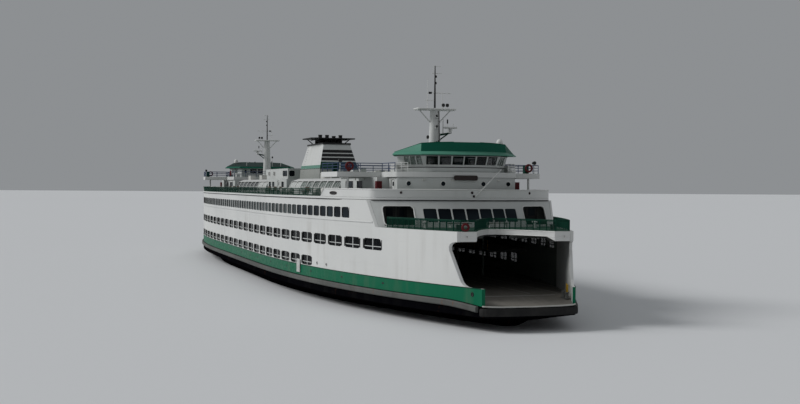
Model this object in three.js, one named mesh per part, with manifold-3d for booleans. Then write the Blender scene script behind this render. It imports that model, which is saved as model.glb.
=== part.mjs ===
// Double-ended car ferry, built as a 1:10 scale model.
// Sizes are in metres of the real ship, and the last group scales them to the model's millimetres.
// +X points to the near end, +Y to the far side, +Z up, and z = 0 is the waterline.
import * as THREE from "three";
import { mergeVertices } from "three/addons/utils/BufferGeometryUtils.js";
import { ConvexGeometry } from "three/addons/geometries/ConvexGeometry.js";
import Module from "manifold-3d";

const wasm = await Module();
wasm.setup();

const modelScale = 100; // model millimetres for each metre of the ship
const gap = 0.003; // left between pieces that touch

// The ship's plan: parallel sides amidships, then a power curve to the bulwarks' ends.
const plan = { half: 13.45, flat: 12, end: 69.2, endHalf: 4.41, power: 2.78, tip: 69.9 };
const stations = [0, 12, 19, 25.5, 31.5, 37, 42.5, 47.5, 52, 56, 59.5, 62.5, 65, 67.2, 69.2];

// Heights above the waterline.
const level = {
  keel: -5.26,
  carDeck: 2.58,
  bulwark: 3.72,
  mezzanine: 5.25,
  corner: 7.57,
  passengerBeam: 7.95,
  passengerDeck: 8.47,
  sunBeam: 11.05,
  sunDeck: 11.3,
  sunBulwark: 12.1,
  navBeam: 13.3,
  navDeck: 13.85,
  roof: 15.5,
};

const paint = {
  white: { color: 0xd4d4d0, roughness: 0.5, metalness: 0 },
  grey: { color: 0x8f938f, roughness: 0.6, metalness: 0 },
  green: { color: 0x00613f, roughness: 0.45, metalness: 0 },
  black: { color: 0x16181a, roughness: 0.7, metalness: 0 },
  deck: { color: 0x5c5a54, roughness: 0.85, metalness: 0 },
  rubber: { color: 0x101010, roughness: 0.9, metalness: 0 },
  bronze: { color: 0x9a7440, roughness: 0.35, metalness: 1 },
};
for (const name in paint) paint[name] = new THREE.MeshStandardMaterial(paint[name]);

const ferry = new THREE.Group();

function addPiece(name, geometry, material) {
  const mesh = new THREE.Mesh(geometry, material);
  mesh.name = name;
  ferry.add(mesh);
  return mesh;
}

// Solids and cuts

function solid(geometry) {
  const bare = geometry.clone();
  bare.deleteAttribute("normal");
  bare.deleteAttribute("uv");
  const merged = mergeVertices(bare, 1e-5);
  return new wasm.Manifold(
    new wasm.Mesh({
      numProp: 3,
      vertProperties: new Float32Array(merged.attributes.position.array),
      triVerts: new Uint32Array(merged.index.array),
    }),
  );
}

function geometryOf(body) {
  const mesh = body.getMesh();
  const geometry = new THREE.BufferGeometry();
  geometry.setAttribute("position", new THREE.BufferAttribute(mesh.vertProperties, 3));
  geometry.setIndex(new THREE.BufferAttribute(mesh.triVerts, 1));
  const faceted = geometry.toNonIndexed();
  faceted.computeVertexNormals();
  return faceted;
}

function joined(geometries) {
  return geometries.map(solid).reduce((sum, part) => sum.add(part));
}

function cut(geometry, tools) {
  let body = solid(geometry);
  if (tools.length) body = body.subtract(joined(tools));
  return geometryOf(body);
}

function fuse(geometries) {
  return geometryOf(joined(geometries));
}

// Shapes

function block(x, y, z) {
  const geometry = new THREE.BoxGeometry(x[1] - x[0], y[1] - y[0], z[1] - z[0]);
  return geometry.translate((x[0] + x[1]) / 2, (y[0] + y[1]) / 2, (z[0] + z[1]) / 2);
}

function bar(from, to, radius, sides = 6) {
  const a = new THREE.Vector3(...from);
  const b = new THREE.Vector3(...to);
  const along = b.clone().sub(a);
  const geometry = new THREE.CylinderGeometry(radius, radius, along.length(), sides);
  const turn = new THREE.Quaternion().setFromUnitVectors(
    new THREE.Vector3(0, 1, 0),
    along.clone().normalize(),
  );
  return geometry.applyQuaternion(turn).translate(...a.add(b).multiplyScalar(0.5).toArray());
}

// A vertical prism over a plan outline of [x, y] points.
function prism(outline, z) {
  const shape = new THREE.Shape(outline.map(([x, y]) => new THREE.Vector2(x, y)));
  const depth = z[1] - z[0];
  return new THREE.ExtrudeGeometry(shape, { depth, bevelEnabled: false }).translate(0, 0, z[0]);
}

// A prism across the ship over a side view, a THREE.Shape in x and z.
function across(shape, y, curveSegments = 3) {
  const depth = y[1] - y[0];
  const geometry = new THREE.ExtrudeGeometry(shape, { depth, bevelEnabled: false, curveSegments });
  return geometry.rotateX(Math.PI / 2).translate(0, y[1], 0);
}

// Joins closed sections of equally many points, each listed down one side and up the other.
function loft(sections) {
  const count = sections[0].length;
  const corner = (s, i) => sections[s][i % count];
  const faces = [];
  const quad = (a, b, c, d) => faces.push(a, b, c, a, c, d);
  for (let s = 0; s + 1 < sections.length; s += 1)
    for (let i = 0; i < count; i += 1)
      quad(corner(s, i), corner(s, i + 1), corner(s + 1, i + 1), corner(s + 1, i));
  const last = sections.length - 1;
  for (let i = 0; i < count / 2 - 1; i += 1) {
    quad(corner(0, count - 1 - i), corner(0, count - 2 - i), corner(0, i + 1), corner(0, i));
    quad(corner(last, i), corner(last, i + 1), corner(last, count - 2 - i), corner(last, count - 1 - i));
  }
  if (volumeOf(faces) < 0)
    for (let i = 0; i < faces.length; i += 3) [faces[i], faces[i + 1]] = [faces[i + 1], faces[i]];
  const geometry = new THREE.BufferGeometry();
  geometry.setAttribute("position", new THREE.Float32BufferAttribute(faces.flat(), 3));
  geometry.computeVertexNormals();
  return geometry;
}

function volumeOf(faces) {
  const [a, b, c] = [new THREE.Vector3(), new THREE.Vector3(), new THREE.Vector3()];
  let volume = 0;
  for (let i = 0; i < faces.length; i += 3) {
    a.set(...faces[i]);
    b.set(...faces[i + 1]);
    c.set(...faces[i + 2]);
    volume += a.dot(b.cross(c)) / 6;
  }
  return volume;
}

// Stacks convex outlines, one [z, [[x, y], ...]] for each height.
function stack(rings) {
  const points = (s) => rings[s][1].map(([x, y]) => [x, y, rings[s][0]]);
  return loft(rings.map((ring, s) => points(s)));
}

// A box's four corners, down one side and up the other, for loft.
function rectangle(x, y) {
  return [[x, -y], [-x, -y], [-x, y], [x, y]];
}

function planCurve(x) {
  const beyond = Math.max(0, x - plan.flat) / (plan.end - plan.flat);
  return plan.half - (plan.half - plan.endHalf) * beyond ** plan.power;
}

// The side is flat between stations, so that pieces of different lengths still lie flush.
function halfBeam(x) {
  const away = Math.min(Math.abs(x), plan.end);
  const i = Math.max(1, stations.findIndex((station) => station >= away));
  const [from, to] = [stations[i - 1], stations[i]];
  return THREE.MathUtils.mapLinear(away, from, to, planCurve(from), planCurve(to));
}

// The car deck slopes down at both ends.
const deckSlope = { start: 65, drop: 0.45, power: 1.5 };
function deckHeight(x) {
  const beyond = Math.max(0, Math.abs(x) - deckSlope.start) / (plan.tip - deckSlope.start);
  return level.carDeck - deckSlope.drop * beyond ** deckSlope.power;
}

// Stations from one end to the other, cut off at the given ends.
function stationsBetween(from, to) {
  const both = [...stations.slice(1).map((x) => -x), ...stations].sort((a, b) => a - b);
  return [from, ...both.filter((x) => x > from + 0.01 && x < to - 0.01), to];
}

// A wall that follows the ship's side. outer, inner, low and high are functions of x or numbers.
function sideWall(side, ends, outer, inner, low, high) {
  const at = (value, x) => (typeof value === "function" ? value(x) : value);
  return loft(
    stationsBetween(...ends).map((x) => [
      [x, side * at(outer, x), at(low, x)],
      [x, side * at(inner, x), at(low, x)],
      [x, side * at(inner, x), at(high, x)],
      [x, side * at(outer, x), at(high, x)],
    ]),
  );
}

function deckPlate(ends, outer, low, high) {
  return sideWall(1, ends, outer, (x) => -outer(x), low, high);
}

const sides = [["port", 1], ["starboard", -1]];
const bothEnds = [["near", 1], ["far", -1]];

const mirror = (half) => [...half, ...half.map(([x, y]) => [x, -y]).reverse()];

// Turns a geometry of the near end half a turn about the upright axis for the far end.
function toEnd(geometry, end) {
  return end > 0 ? geometry : geometry.clone().rotateZ(Math.PI);
}

// The ends of the decks and houses are bowed in plan, so x falls with the square of y.
const bow = { deck: 0.025, house: 0.048 };
const deckBowY = [0.68, 2.04, 3.4, 4.76, 6, 7.4, 8.8, 10.4];
const houseBowY = [1.26, 2.52, 4.4, 6.36];
const bowed = (x0, curve, places) => places.map((y) => [x0 - curve * y * y, y]);

// Hull: one row for each waterline, each with its own plan curve.
const waterlines = [
  // z, half beam, flat half length, end of side, half width there, tip, power
  [level.carDeck, plan.half, plan.flat, plan.end, plan.endHalf, plan.tip, plan.power],
  [1.3, plan.half, plan.flat, plan.end, plan.endHalf, plan.tip, plan.power],
  [0.55, 11.9, 14, 65.6, 1.6, 66.6, 2.3],
  [0, 11.6, 14, 64.8, 0.9, 65.5, 2.1],
  [-1, 11.2, 13, 62.3, 0.45, 62.8, 1.9],
  [-1.7, 10.9, 12, 56, 0.35, 56.4, 1.8],
  [-3.6, 9.8, 10, 53, 0.3, 53.3, 1.6],
  [level.keel, 7.2, 8, 50, 0.25, 50.2, 1.5],
];
const endArc = [30, 55, 80].map(THREE.MathUtils.degToRad);

function hullSection(place) {
  const half = waterlines.map((row, i) => {
    const [z, beam, flat, end, endHalf, tip, power] = row;
    const sign = Math.sign(place.x);
    if (place.arc)
      return [
        sign * (end + (tip - end) * Math.sin(place.arc)),
        endHalf * Math.cos(place.arc),
        i ? z : deckHeight(end + (tip - end) * Math.sin(place.arc)),
      ];
    const x = (place.x * end) / plan.end;
    const beyond = Math.max(0, Math.abs(x) - flat) / (end - flat);
    return [x, beam - (beam - endHalf) * beyond ** power, i ? z : deckHeight(x)];
  });
  const mirrored = half.map(([x, y, z]) => [x, -y, z]).reverse();
  return [...half, ...mirrored];
}

const hullPlaces = [
  ...[...endArc].reverse().map((arc) => ({ x: -1, arc })),
  ...stationsBetween(-plan.end, plan.end).map((x) => ({ x })),
  ...endArc.map((arc) => ({ x: 1, arc })),
];
const sternTube = { from: 49, to: 56.3, z: -3.55, radius: 0.42 };
const rudderTrunk = { x: 60.4, radius: 0.5, low: -1.55, high: 0.2 };
const hullParts = [loft(hullPlaces.map(hullSection))];
for (const [, end] of bothEnds) {
  const tube = [[end * sternTube.from, 0, sternTube.z], [end * sternTube.to, 0, sternTube.z]];
  hullParts.push(bar(...tube, sternTube.radius, 12));
  const x = end * rudderTrunk.x;
  hullParts.push(bar([x, 0, rudderTrunk.low], [x, 0, rudderTrunk.high], rudderTrunk.radius, 12));
}
addPiece("hull", fuse(hullParts), paint.black);

// Rub rails and end fenders
const guard = { width: 0.265, low: 2, high: 2.52, end: 68.8 };
for (const [name, side] of sides) {
  const outer = (x) => halfBeam(x) + guard.width;
  const inner = (x) => halfBeam(x) + gap;
  const drop = (x) => deckHeight(x) - level.carDeck;
  const low = (x) => guard.low + drop(x);
  const high = (x) => guard.high + drop(x);
  const rail = sideWall(side, [-guard.end, guard.end], outer, inner, low, high);
  addPiece(`guard_${name}`, rail, paint.grey);
}
const fender = { width: 0.23, low: 1.4, high: 2.05, steps: 10 };
for (const [name, end] of bothEnds) {
  const at = (out, angle) => [
    end * (plan.end + (plan.tip - plan.end + out) * Math.cos(angle)),
    (plan.endHalf + out) * Math.sin(angle),
  ];
  const sections = [];
  for (let i = 0; i <= fender.steps; i += 1) {
    const angle = (i / fender.steps - 0.5) * Math.PI;
    const outer = at(fender.width, angle);
    const inner = at(gap + 0.02, angle);
    sections.push([
      [...outer, fender.low],
      [...inner, fender.low],
      [...inner, fender.high],
      [...outer, fender.high],
    ]);
  }
  addPiece(`fender_${name}`, loft(sections), paint.rubber);
}

// Sides of the car deck: raked ends, low bulwarks and two rows of wide windows
const wall = 0.3;
const insideShell = (x) => halfBeam(x) - wall - gap;
const mouth = { x: 66.35, top: 66.1, waist: 65.4, waistZ: 6.8, foot: 66.65, footZ: 4.45, low: 67.8 };
const windowRows = [
  // low, high, windows on each side of the middle one
  [3.8, 4.84, 10],
  [6.26, 7.36, 14],
];
const windowPitch = 3.86;
const windowWidth = 3.02;

function mouthCut(end) {
  const shape = new THREE.Shape();
  const above = level.passengerDeck + 1;
  shape.moveTo(end * mouth.x, above);
  shape.lineTo(end * mouth.x, level.corner);
  shape.lineTo(end * mouth.top, level.corner);
  shape.quadraticCurveTo(end * (mouth.waist - 0.2), level.corner - 0.1, end * mouth.waist, mouth.waistZ);
  shape.lineTo(end * mouth.foot, mouth.footZ);
  shape.quadraticCurveTo(end * (mouth.foot + 0.3), level.bulwark, end * mouth.low, level.bulwark);
  shape.lineTo(end * 72, level.bulwark);
  shape.lineTo(end * 72, above);
  return across(shape, [-15, 15]);
}

// Each side is plated in two lengths, which meet between two windows.
const butt = windowPitch / 2;
const lengths = [
  // name, from, to
  ["near", butt + gap, plan.end],
  ["far", -plan.end, butt],
];
for (const [name, side] of sides)
  for (const [lengthName, from, to] of lengths) {
    const low = (x) => deckHeight(x) + gap;
    const inner = (x) => halfBeam(x) - wall;
    const shell = sideWall(side, [from, to], halfBeam, inner, low, level.passengerDeck);
    const tools = [mouthCut(1), mouthCut(-1)];
    const reach = side > 0 ? [8, 14] : [-14, -8];
    for (const [z0, z1, count] of windowRows)
      for (let i = -count; i <= count; i += 1) {
        const x = i * windowPitch;
        tools.push(block([x - windowWidth / 2, x + windowWidth / 2], reach, [z0, z1]));
      }
    addPiece(`shell_${name}_${lengthName}`, cut(shell, tools), paint.white);
  }

// Inside the car deck
const casing = { x: 44, y: 2.4 };
addPiece(
  "casing",
  block([-casing.x, casing.x], [-casing.y, casing.y], [level.carDeck + gap, level.passengerBeam - gap]),
  paint.white,
);
const mezzanine = { x: 44, inner: 6.6, thick: 0.25 };
for (const [name, side] of sides) {
  const ends = [-mezzanine.x, mezzanine.x];
  const high = level.mezzanine + mezzanine.thick;
  const slab = sideWall(side, ends, insideShell, mezzanine.inner, level.mezzanine, high);
  addPiece(`mezzanine_${name}`, slab, paint.deck);
}

// Passenger deck. Each end is a fork over the car deck's mouth, with a haunch at its two tips.
const fork = { from: 59.9, notch: 60.8, inner: 3.76, power: 1.5 };
const haunch = { from: 64.9, inner: 3.8, shoulder: 3.35 };
const forkY = [3.76, 3.15, 2.5, 1.8, 1.1, 0.4];
const forkX = (y) => fork.notch + (mouth.x - fork.notch) * (y / fork.inner) ** fork.power;
addPiece(
  "passenger_deck",
  deckPlate([-fork.from, fork.from], insideShell, level.passengerBeam, level.passengerDeck),
  paint.white,
);
for (const [name, end] of bothEnds) {
  const ends = [fork.from + gap, mouth.x];
  const parts = [deckPlate(ends, insideShell, level.passengerBeam, level.passengerDeck)];
  for (const [, side] of sides)
    parts.push(
      loft(
        stationsBetween(haunch.from, mouth.x).map((x) => [
          [x, side * insideShell(x), level.corner],
          [x, side * haunch.inner, level.corner],
          [x, side * haunch.shoulder, level.passengerBeam + 0.02],
          [x, side * insideShell(x), level.passengerBeam + 0.02],
        ]),
      ),
    );
  const notch = mirror([[mouth.x + 1, fork.inner], ...forkY.map((y) => [forkX(y), y])]);
  const ways = prism(notch, [level.corner - 1, level.passengerDeck + 1]);
  addPiece(`deck_end_${name}`, toEnd(cut(fuse(parts), [ways]), end), paint.white);
}

// Passenger cabin walls, raked and bowed at both ends
const cabin = { wall: 0.25, footX: 56.86, headX: 55.37 };
const cabinLow = level.passengerDeck + gap;
const cabinHigh = level.sunBeam - gap;
function cabinRake(end, back, front) {
  const slope = (cabin.headX - cabin.footX) / (cabinHigh - cabinLow);
  const low = cabinLow - 1;
  const high = cabinHigh + 1;
  const rake = (z, y) => cabin.footX + slope * (z - cabinLow) - bow.deck * y * y;
  const places = [...deckBowY.map((y) => -y).reverse(), ...deckBowY];
  return loft(
    places.map((y) => [
      [end * (rake(low, y) - back), y, low],
      [end * (rake(low, y) + front), y, low],
      [end * (rake(high, y) + front), y, high],
      [end * (rake(high, y) - back), y, high],
    ]),
  );
}
for (const [name, side] of sides) {
  const inner = (x) => halfBeam(x) - cabin.wall;
  const ends = [-cabin.footX - 1, cabin.footX + 1];
  const side0 = sideWall(side, ends, halfBeam, inner, cabinLow, cabinHigh);
  addPiece(`cabin_${name}`, cut(side0, [cabinRake(1, 0, 6), cabinRake(-1, 0, 6)]), paint.white);
}
const vestibule = { inner: 5.72, outer: 8.6, low: 8.6, high: 10.5, corner: 0.3 };
function vestibuleCut(side) {
  const { inner, outer, low, high, corner: c } = vestibule;
  const outline = [[inner, low], [outer, low], [outer, high - c], [outer - c, high],
    [inner + c, high], [inner, high - c]];
  const shape = new THREE.Shape(outline.map(([y, z]) => new THREE.Vector2(side * y, z)));
  const geometry = new THREE.ExtrudeGeometry(shape, { depth: 6, bevelEnabled: false });
  return geometry.rotateX(Math.PI / 2).rotateZ(Math.PI / 2).translate(51.5, 0, 0);
}
for (const [name, end] of bothEnds) {
  const inside = (x) => halfBeam(x) - cabin.wall - gap;
  const room = solid(deckPlate([51.5, 58], inside, cabinLow, cabinHigh));
  const bulkhead = room.intersect(solid(cabinRake(1, cabin.wall, 0)));
  const doorways = joined([vestibuleCut(1), vestibuleCut(-1)]);
  addPiece(`cabin_end_${name}`, toEnd(geometryOf(bulkhead.subtract(doorways)), end), paint.grey);
}

// Sun deck and its bulwarks round the two ends
const sun = { end: 55.5, start: 42.7, rake: 0.6, inset: 0.4, insetFrom: 44, insetTo: 53.8, wall: 0.15 };
function sunHalf(x) {
  const beyond = Math.max(0, Math.abs(x) - sun.insetFrom) / (sun.insetTo - sun.insetFrom);
  return halfBeam(x) + 0.06 - sun.inset * beyond ** 2;
}
// Everything beyond the bowed end of the sun deck.
function beyondSunDeck(inset) {
  const outline = mirror([[sun.end + 2, 10.4], ...bowed(sun.end - inset, bow.deck, deckBowY).reverse()]);
  return prism(outline, [level.sunBeam - 1, level.sunBulwark + 1]);
}
const sunPlate = deckPlate([-sun.end - 1, sun.end + 1], sunHalf, level.sunBeam, level.sunDeck);
addPiece("sun_deck", cut(sunPlate, [beyondSunDeck(0), toEnd(beyondSunDeck(0), -1)]), paint.white);
for (const [name, end] of bothEnds) {
  const low = level.sunDeck + gap;
  const ends = [sun.start, sun.end + 1];
  const inside = (x) => sunHalf(x) - sun.wall;
  const over = deckPlate([sun.start - 1, sun.end + 1], inside, low - 0.1, level.sunBulwark + 0.1);
  const room = cut(over, [beyondSunDeck(sun.wall)]);
  const rake = new THREE.Shape();
  rake.moveTo(sun.start - 1, low - 0.1);
  rake.lineTo(sun.start, low - 0.1);
  rake.lineTo(sun.start + sun.rake, level.sunBulwark + 0.1);
  rake.lineTo(sun.start - 1, level.sunBulwark + 0.1);
  const whole = deckPlate(ends, sunHalf, low, level.sunBulwark);
  const bulwark = cut(whole, [room, beyondSunDeck(0), across(rake, [-15, 15])]);
  addPiece(`bulwark_${name}`, toEnd(bulwark, end), paint.white);
}

// Houses on the sun deck
const house = { front: 53.72, stepX: 49, stepY: 6.36, y: 7.6, back: 35 };
const houseZ = [level.sunDeck + gap, level.navBeam - gap];
const houseHalf = [
  ...bowed(house.front, bow.house, houseBowY),
  [house.stepX, house.stepY],
  [house.stepX, house.y],
  [house.back, house.y],
];
for (const [name, end] of bothEnds)
  addPiece(`house_${name}`, toEnd(prism(mirror(houseHalf), houseZ), end), paint.white);
const middle = { x: 6.5, y: 7.6, spineY: 4.2 };
addPiece("midship_house", block([-middle.x, middle.x], [-middle.y, middle.y], houseZ), paint.white);
for (const [name, end] of bothEnds) {
  const spine = block([middle.x + gap, house.back - gap], [-middle.spineY, middle.spineY], houseZ);
  addPiece(`spine_house_${name}`, toEnd(spine, end), paint.white);
}

// Glazed shelters between the houses: a curved frame with open bays
const shelter = { from: 8, to: 34, bays: 8, post: 0.2, thick: 0.14, head: 0.35, shoulder: 1.4 };
function shelterRing(out) {
  const y0 = middle.spineY + gap;
  const y1 = middle.y - 0.1 + out;
  const top = houseZ[1] - shelter.thick + out;
  return [[y0, top], [y1 - shelter.shoulder, top], [y1 - 0.45, top - 0.35],
    [y1 - 0.08, top - 1.0], [y1, houseZ[0]]];
}
for (const [endName, end] of bothEnds)
  for (const [name, side] of sides) {
    const outline = [...shelterRing(shelter.thick), ...shelterRing(0).reverse()];
    const section = (x) => outline.map(([y, z]) => [end * x, side * y, z]);
    const pitch = (shelter.to - shelter.from) / shelter.bays;
    const bays = [];
    for (let i = 0; i < shelter.bays; i += 1) {
      const x = [shelter.from + i * pitch + shelter.post, shelter.from + (i + 1) * pitch - shelter.post / 2];
      const span = x.map((value) => end * value).sort((a, b) => a - b);
      const reach = [middle.y - 1.5, middle.y + 0.5].map((y) => side * y).sort((a, b) => a - b);
      bays.push(block(span, reach, [level.sunDeck + 0.25, houseZ[1] - shelter.head]));
    }
    const frame = cut(loft([section(shelter.from), section(shelter.to)]), bays);
    addPiece(`shelter_${endName}_${name}`, frame, paint.white);
  }

// Navigation decks with their wings and the posts under them
const wing = { front: 47.2, back: 42.2, tipFront: 11.3, tipBack: 11.7, postX: 46.9, postY: 10.1 };
const navHalf = [
  ...bowed(house.front + 0.12, bow.house, houseBowY),
  [51.5, 6.6],
  [wing.front, 6.6],
  [wing.front, wing.tipFront],
  [wing.back, wing.tipBack],
  [wing.back, 7.8],
  [house.back, 7.8],
];
for (const [name, end] of bothEnds) {
  const parts = [prism(mirror(navHalf), [level.navBeam, level.navDeck])];
  for (const [, side] of sides) {
    const y = side * wing.postY;
    const low = level.sunDeck + gap;
    parts.push(bar([wing.postX, y, low], [wing.postX, y, level.navBeam + 0.1], 0.13, 8));
  }
  addPiece(`nav_deck_${name}`, toEnd(fuse(parts), end), paint.white);
}
const generator = { from: -26, to: -9, y: 4, high: 15 };
addPiece(
  "generator_house",
  block([generator.from, generator.to], [-generator.y, generator.y], [level.navBeam, generator.high]),
  paint.white,
);

// Pilothouses: hollow, with raked windows in front and a hinged door on each side
const pilot = { wall: 0.16, sill: 14.52, head: 15.4, flare: 0.32 };
const pilotCorners = [
  // x, y, outward x and y of the flare, x and y of the wall's thickness
  [53.46, 1.26, 1, 0, 1, 0],
  [53.22, 2.52, 1, 0.3, 1, 0.1],
  [52.82, 3.78, 1, 0.9, 0.85, 0.5],
  [50.3, 5.85, 0.9, 0.4, 0.3, 1],
  [46.6, 4.4, 0, 0, -1, 1],
];
function pilotRing(inset, flare) {
  const half = pilotCorners.map(([x, y, fx, fy, ix, iy]) => [
    x + flare * fx - inset * ix,
    y + flare * fy - inset * iy,
  ]);
  return mirror(half);
}
function pilotShell(inset, low, high) {
  const flareAt = (z) => (pilot.flare * Math.max(0, z - pilot.sill)) / (level.roof - pilot.sill);
  return stack([low, pilot.sill, high].map((z) => [z, pilotRing(inset, flareAt(z))]));
}
// Boxes that cut evenly spaced windows in the wall from one plan point to another.
function windowsAlong(from, to, count, share, z) {
  const [dx, dy] = [to[0] - from[0], to[1] - from[1]];
  const length = Math.hypot(dx, dy);
  const pitch = length / count;
  const tools = [];
  for (let i = 0; i < count; i += 1) {
    const t = (i + 0.5) / count;
    const pane = new THREE.BoxGeometry(pitch * share, 1.1, z[1] - z[0]);
    pane.rotateZ(Math.atan2(dy, dx));
    tools.push(pane.translate(from[0] + dx * t, from[1] + dy * t, (z[0] + z[1]) / 2));
  }
  return tools;
}
// Doors in the rear wall, hinged at their outboard edge on two barrels.
const doorway = { inner: 3.2, outer: 4.1, low: level.navDeck + 0.08, high: 15.4, leaf: 0.06, recess: 0.05 };
const doorPivot = { x: 46.6 + doorway.recess, y: doorway.outer - 0.043, barrel: 0.04 };
const pilotPanes = [
  // from, to, count, share of glass
  [[53.46, -1.26], [53.46, 1.26], 2, 0.9],
  [[53.46, 1.26], [53.22, 2.52], 1, 0.9],
  [[53.46, -1.26], [53.22, -2.52], 1, 0.9],
  [[53.22, 2.52], [52.82, 3.78], 1, 0.88],
  [[53.22, -2.52], [52.82, -3.78], 1, 0.88],
  [[52.68, 3.98], [51, 5.36], 3, 0.82],
  [[52.68, -3.98], [51, -5.36], 3, 0.82],
  [[49.8, 5.65], [47.8, 4.87], 2, 0.84],
  [[49.8, -5.65], [47.8, -4.87], 2, 0.84],
  [[46.6, 2.95], [46.6, -2.95], 4, 0.84],
];
const paneZ = [pilot.sill + 0.04, pilot.head];
for (const [name, end] of bothEnds) {
  const inner = pilotShell(pilot.wall, level.navDeck - 0.5, level.roof + 0.5);
  const panes = pilotPanes.flatMap(([from, to, count, share]) =>
    windowsAlong(from, to, count, share, paneZ));
  const doors = sides.map(([, side]) => {
    const reach = [doorway.inner, doorway.outer].map((y) => side * y).sort((a, b) => a - b);
    return block([46.2, 47], reach, [doorway.low, doorway.high]);
  });
  const outer = pilotShell(0, level.navDeck + gap, level.roof - gap);
  addPiece(`pilothouse_${name}`, toEnd(cut(outer, [inner, ...panes, ...doors]), end), paint.white);
}
for (const [endName, end] of bothEnds)
  for (const [, side] of sides) {
    const clear = 0.05;
    const low = doorway.low + clear;
    const high = doorway.high - clear;
    const span = [doorway.inner + clear, doorPivot.y].map((y) => side * y).sort((a, b) => a - b);
    const leaf = block([doorPivot.x, doorPivot.x + doorway.leaf], span, [low, high]);
    const pane = [doorway.inner + 0.22, doorway.outer - 0.25].map((y) => side * y).sort((a, b) => a - b);
    const window = block([46, 47.5], pane, [pilot.sill + 0.1, high - 0.15]);
    const parts = [cut(leaf, [window])];
    for (const z of [low + 0.2, high - 0.3]) {
      const pivot = [doorPivot.x, side * doorPivot.y];
      parts.push(bar([...pivot, z], [...pivot, z + 0.12], doorPivot.barrel, 8));
    }
    const sideName = sides.find(([, sign]) => sign === side * end)[0];
    addPiece(`pilot_door_${endName}_${sideName}`, toEnd(fuse(parts), end), paint.white);
  }

// Pilothouse roofs: a flat eave, then a tall front that slopes down to the sides and the rear
const eave = { lip: 0.16 };
const roofEave = [[54.95, 1.4], [54.6, 3], [54, 4.64], [51.2, 6.68], [46.1, 4.85]];
const roofTop = [
  // x, y, z
  [54.35, 1.4, 16.78],
  [54.02, 3, 16.74],
  [53.46, 4.45, 16.65],
  [51, 6.4, 15.8],
  [46.3, 4.65, 15.76],
];
for (const [name, end] of bothEnds) {
  const points = [];
  for (const [, side] of sides) {
    for (const [x, y] of roofEave) {
      points.push(new THREE.Vector3(x, side * y, level.roof));
      points.push(new THREE.Vector3(x, side * y, level.roof + eave.lip));
    }
    for (const [x, y, z] of roofTop) points.push(new THREE.Vector3(x, side * y, z));
  }
  addPiece(`roof_${name}`, toEnd(new ConvexGeometry(points), end), paint.green);
}

// Masts, each with a turning radar scanner on its lower arm
const mast = { x: 45, foot: level.navDeck + gap, platform: 20.5, poleTop: 25.25 };
const scannerPlace = { x: 45, y: 1.75, low: 18.42 };
for (const [name, end] of bothEnds) {
  const { x, foot, platform, poleTop } = mast;
  const trunk = stack([
    [foot, octagon(x, 0, 0.72, 0.8)],
    [platform + 0.05, octagon(x, 0, 0.45, 0.52)],
  ]);
  const parts = [
    trunk,
    block([x - 0.75, x + 0.75], [-2.15, 2.15], [platform, platform + 0.2]),
    bar([x, 0, platform], [x, 0, poleTop], 0.11),
    bar([x, -1.85, 22.4], [x, 1.85, 22.4], 0.06),
    bar([x, -1.1, 24], [x, 1.1, 24], 0.05),
    bar([x, -0.8, poleTop - 0.15], [x, 0.8, poleTop - 0.15], 0.05),
    bar([x, -0.83, platform], [x, -0.83, 23.85], 0.05),
    bar([x, 0.2, 17.9], [x, 1.75, 18.1], 0.12),
    bar([x, 0.2, 17.1], [x, 1.6, 18.05], 0.08),
    bar([x, scannerPlace.y, 18], [x, scannerPlace.y, scannerPlace.low - gap], 0.2, 8),
  ];
  for (const [, side] of sides) {
    parts.push(bar([x, side * 1.7, platform + 0.05], [x, side * 0.3, 18.9], 0.07));
    parts.push(bar([x, side * 1.25, platform], [x, side * 1.25, platform + 0.9], 0.22, 8));
  }
  addPiece(`mast_${name}`, toEnd(fuse(parts), end), paint.white);
  const { y, low } = scannerPlace;
  const scanner = fuse([
    bar([x, y, low], [x, y, low + 0.3], 0.16, 8),
    block([x - 0.1, x + 0.1], [y - 0.8, y + 0.8], [low + 0.18, low + 0.38]),
  ]);
  addPiece(`radar_${name}`, toEnd(scanner, end), paint.white);
}

function octagon(x, y, rx, ry) {
  const points = [];
  for (let i = 0; i < 8; i += 1) {
    const angle = ((i + 0.5) / 8) * 2 * Math.PI;
    points.push([x + rx * Math.cos(angle), y + ry * Math.sin(angle)]);
  }
  return points;
}

// Funnel, its exhaust pipes and the flat wing over them
const funnel = { foot: houseZ[1] + gap + gap, plinth: 14.8, top: 18.2, cap: 18.45 };
addPiece(
  "funnel",
  fuse([
    stack([
      [funnel.foot, rectangle(6.1, 2.85)],
      [funnel.plinth, rectangle(5.95, 2.78)],
      [funnel.top, rectangle(4.65, 1.95)],
    ]),
    block([-4.75, 4.75], [-2.05, 2.05], [funnel.top - 0.05, funnel.cap]),
  ]),
  paint.white,
);
const exhaust = { low: funnel.cap + gap, wing: 19.08, thick: 0.16, top: 19.72, radius: 0.34 };
const exhaustParts = [
  block([-2.7, 2.7], [-3.3, 3.3], [exhaust.wing, exhaust.wing + exhaust.thick]),
];
for (const x of [-1, 1])
  for (const y of [-1.5, -0.5, 0.5, 1.5])
    exhaustParts.push(bar([x, y, exhaust.low], [x, y, exhaust.top], exhaust.radius, 8));
for (const x of [-2.2, 2.2])
  for (const [, side] of sides)
    exhaustParts.push(bar([x, side * 1.85, exhaust.low + 0.06], [x, side * 2.6, exhaust.wing + 0.05], 0.07));
addPiece("exhaust", fuse(exhaustParts), paint.black);

// Rails: a top and a bottom bar with posts, as a thin wall along a plan path with its bays cut out
const rail = { half: 0.04, bar: 0.1, post: 0.12 };

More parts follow.
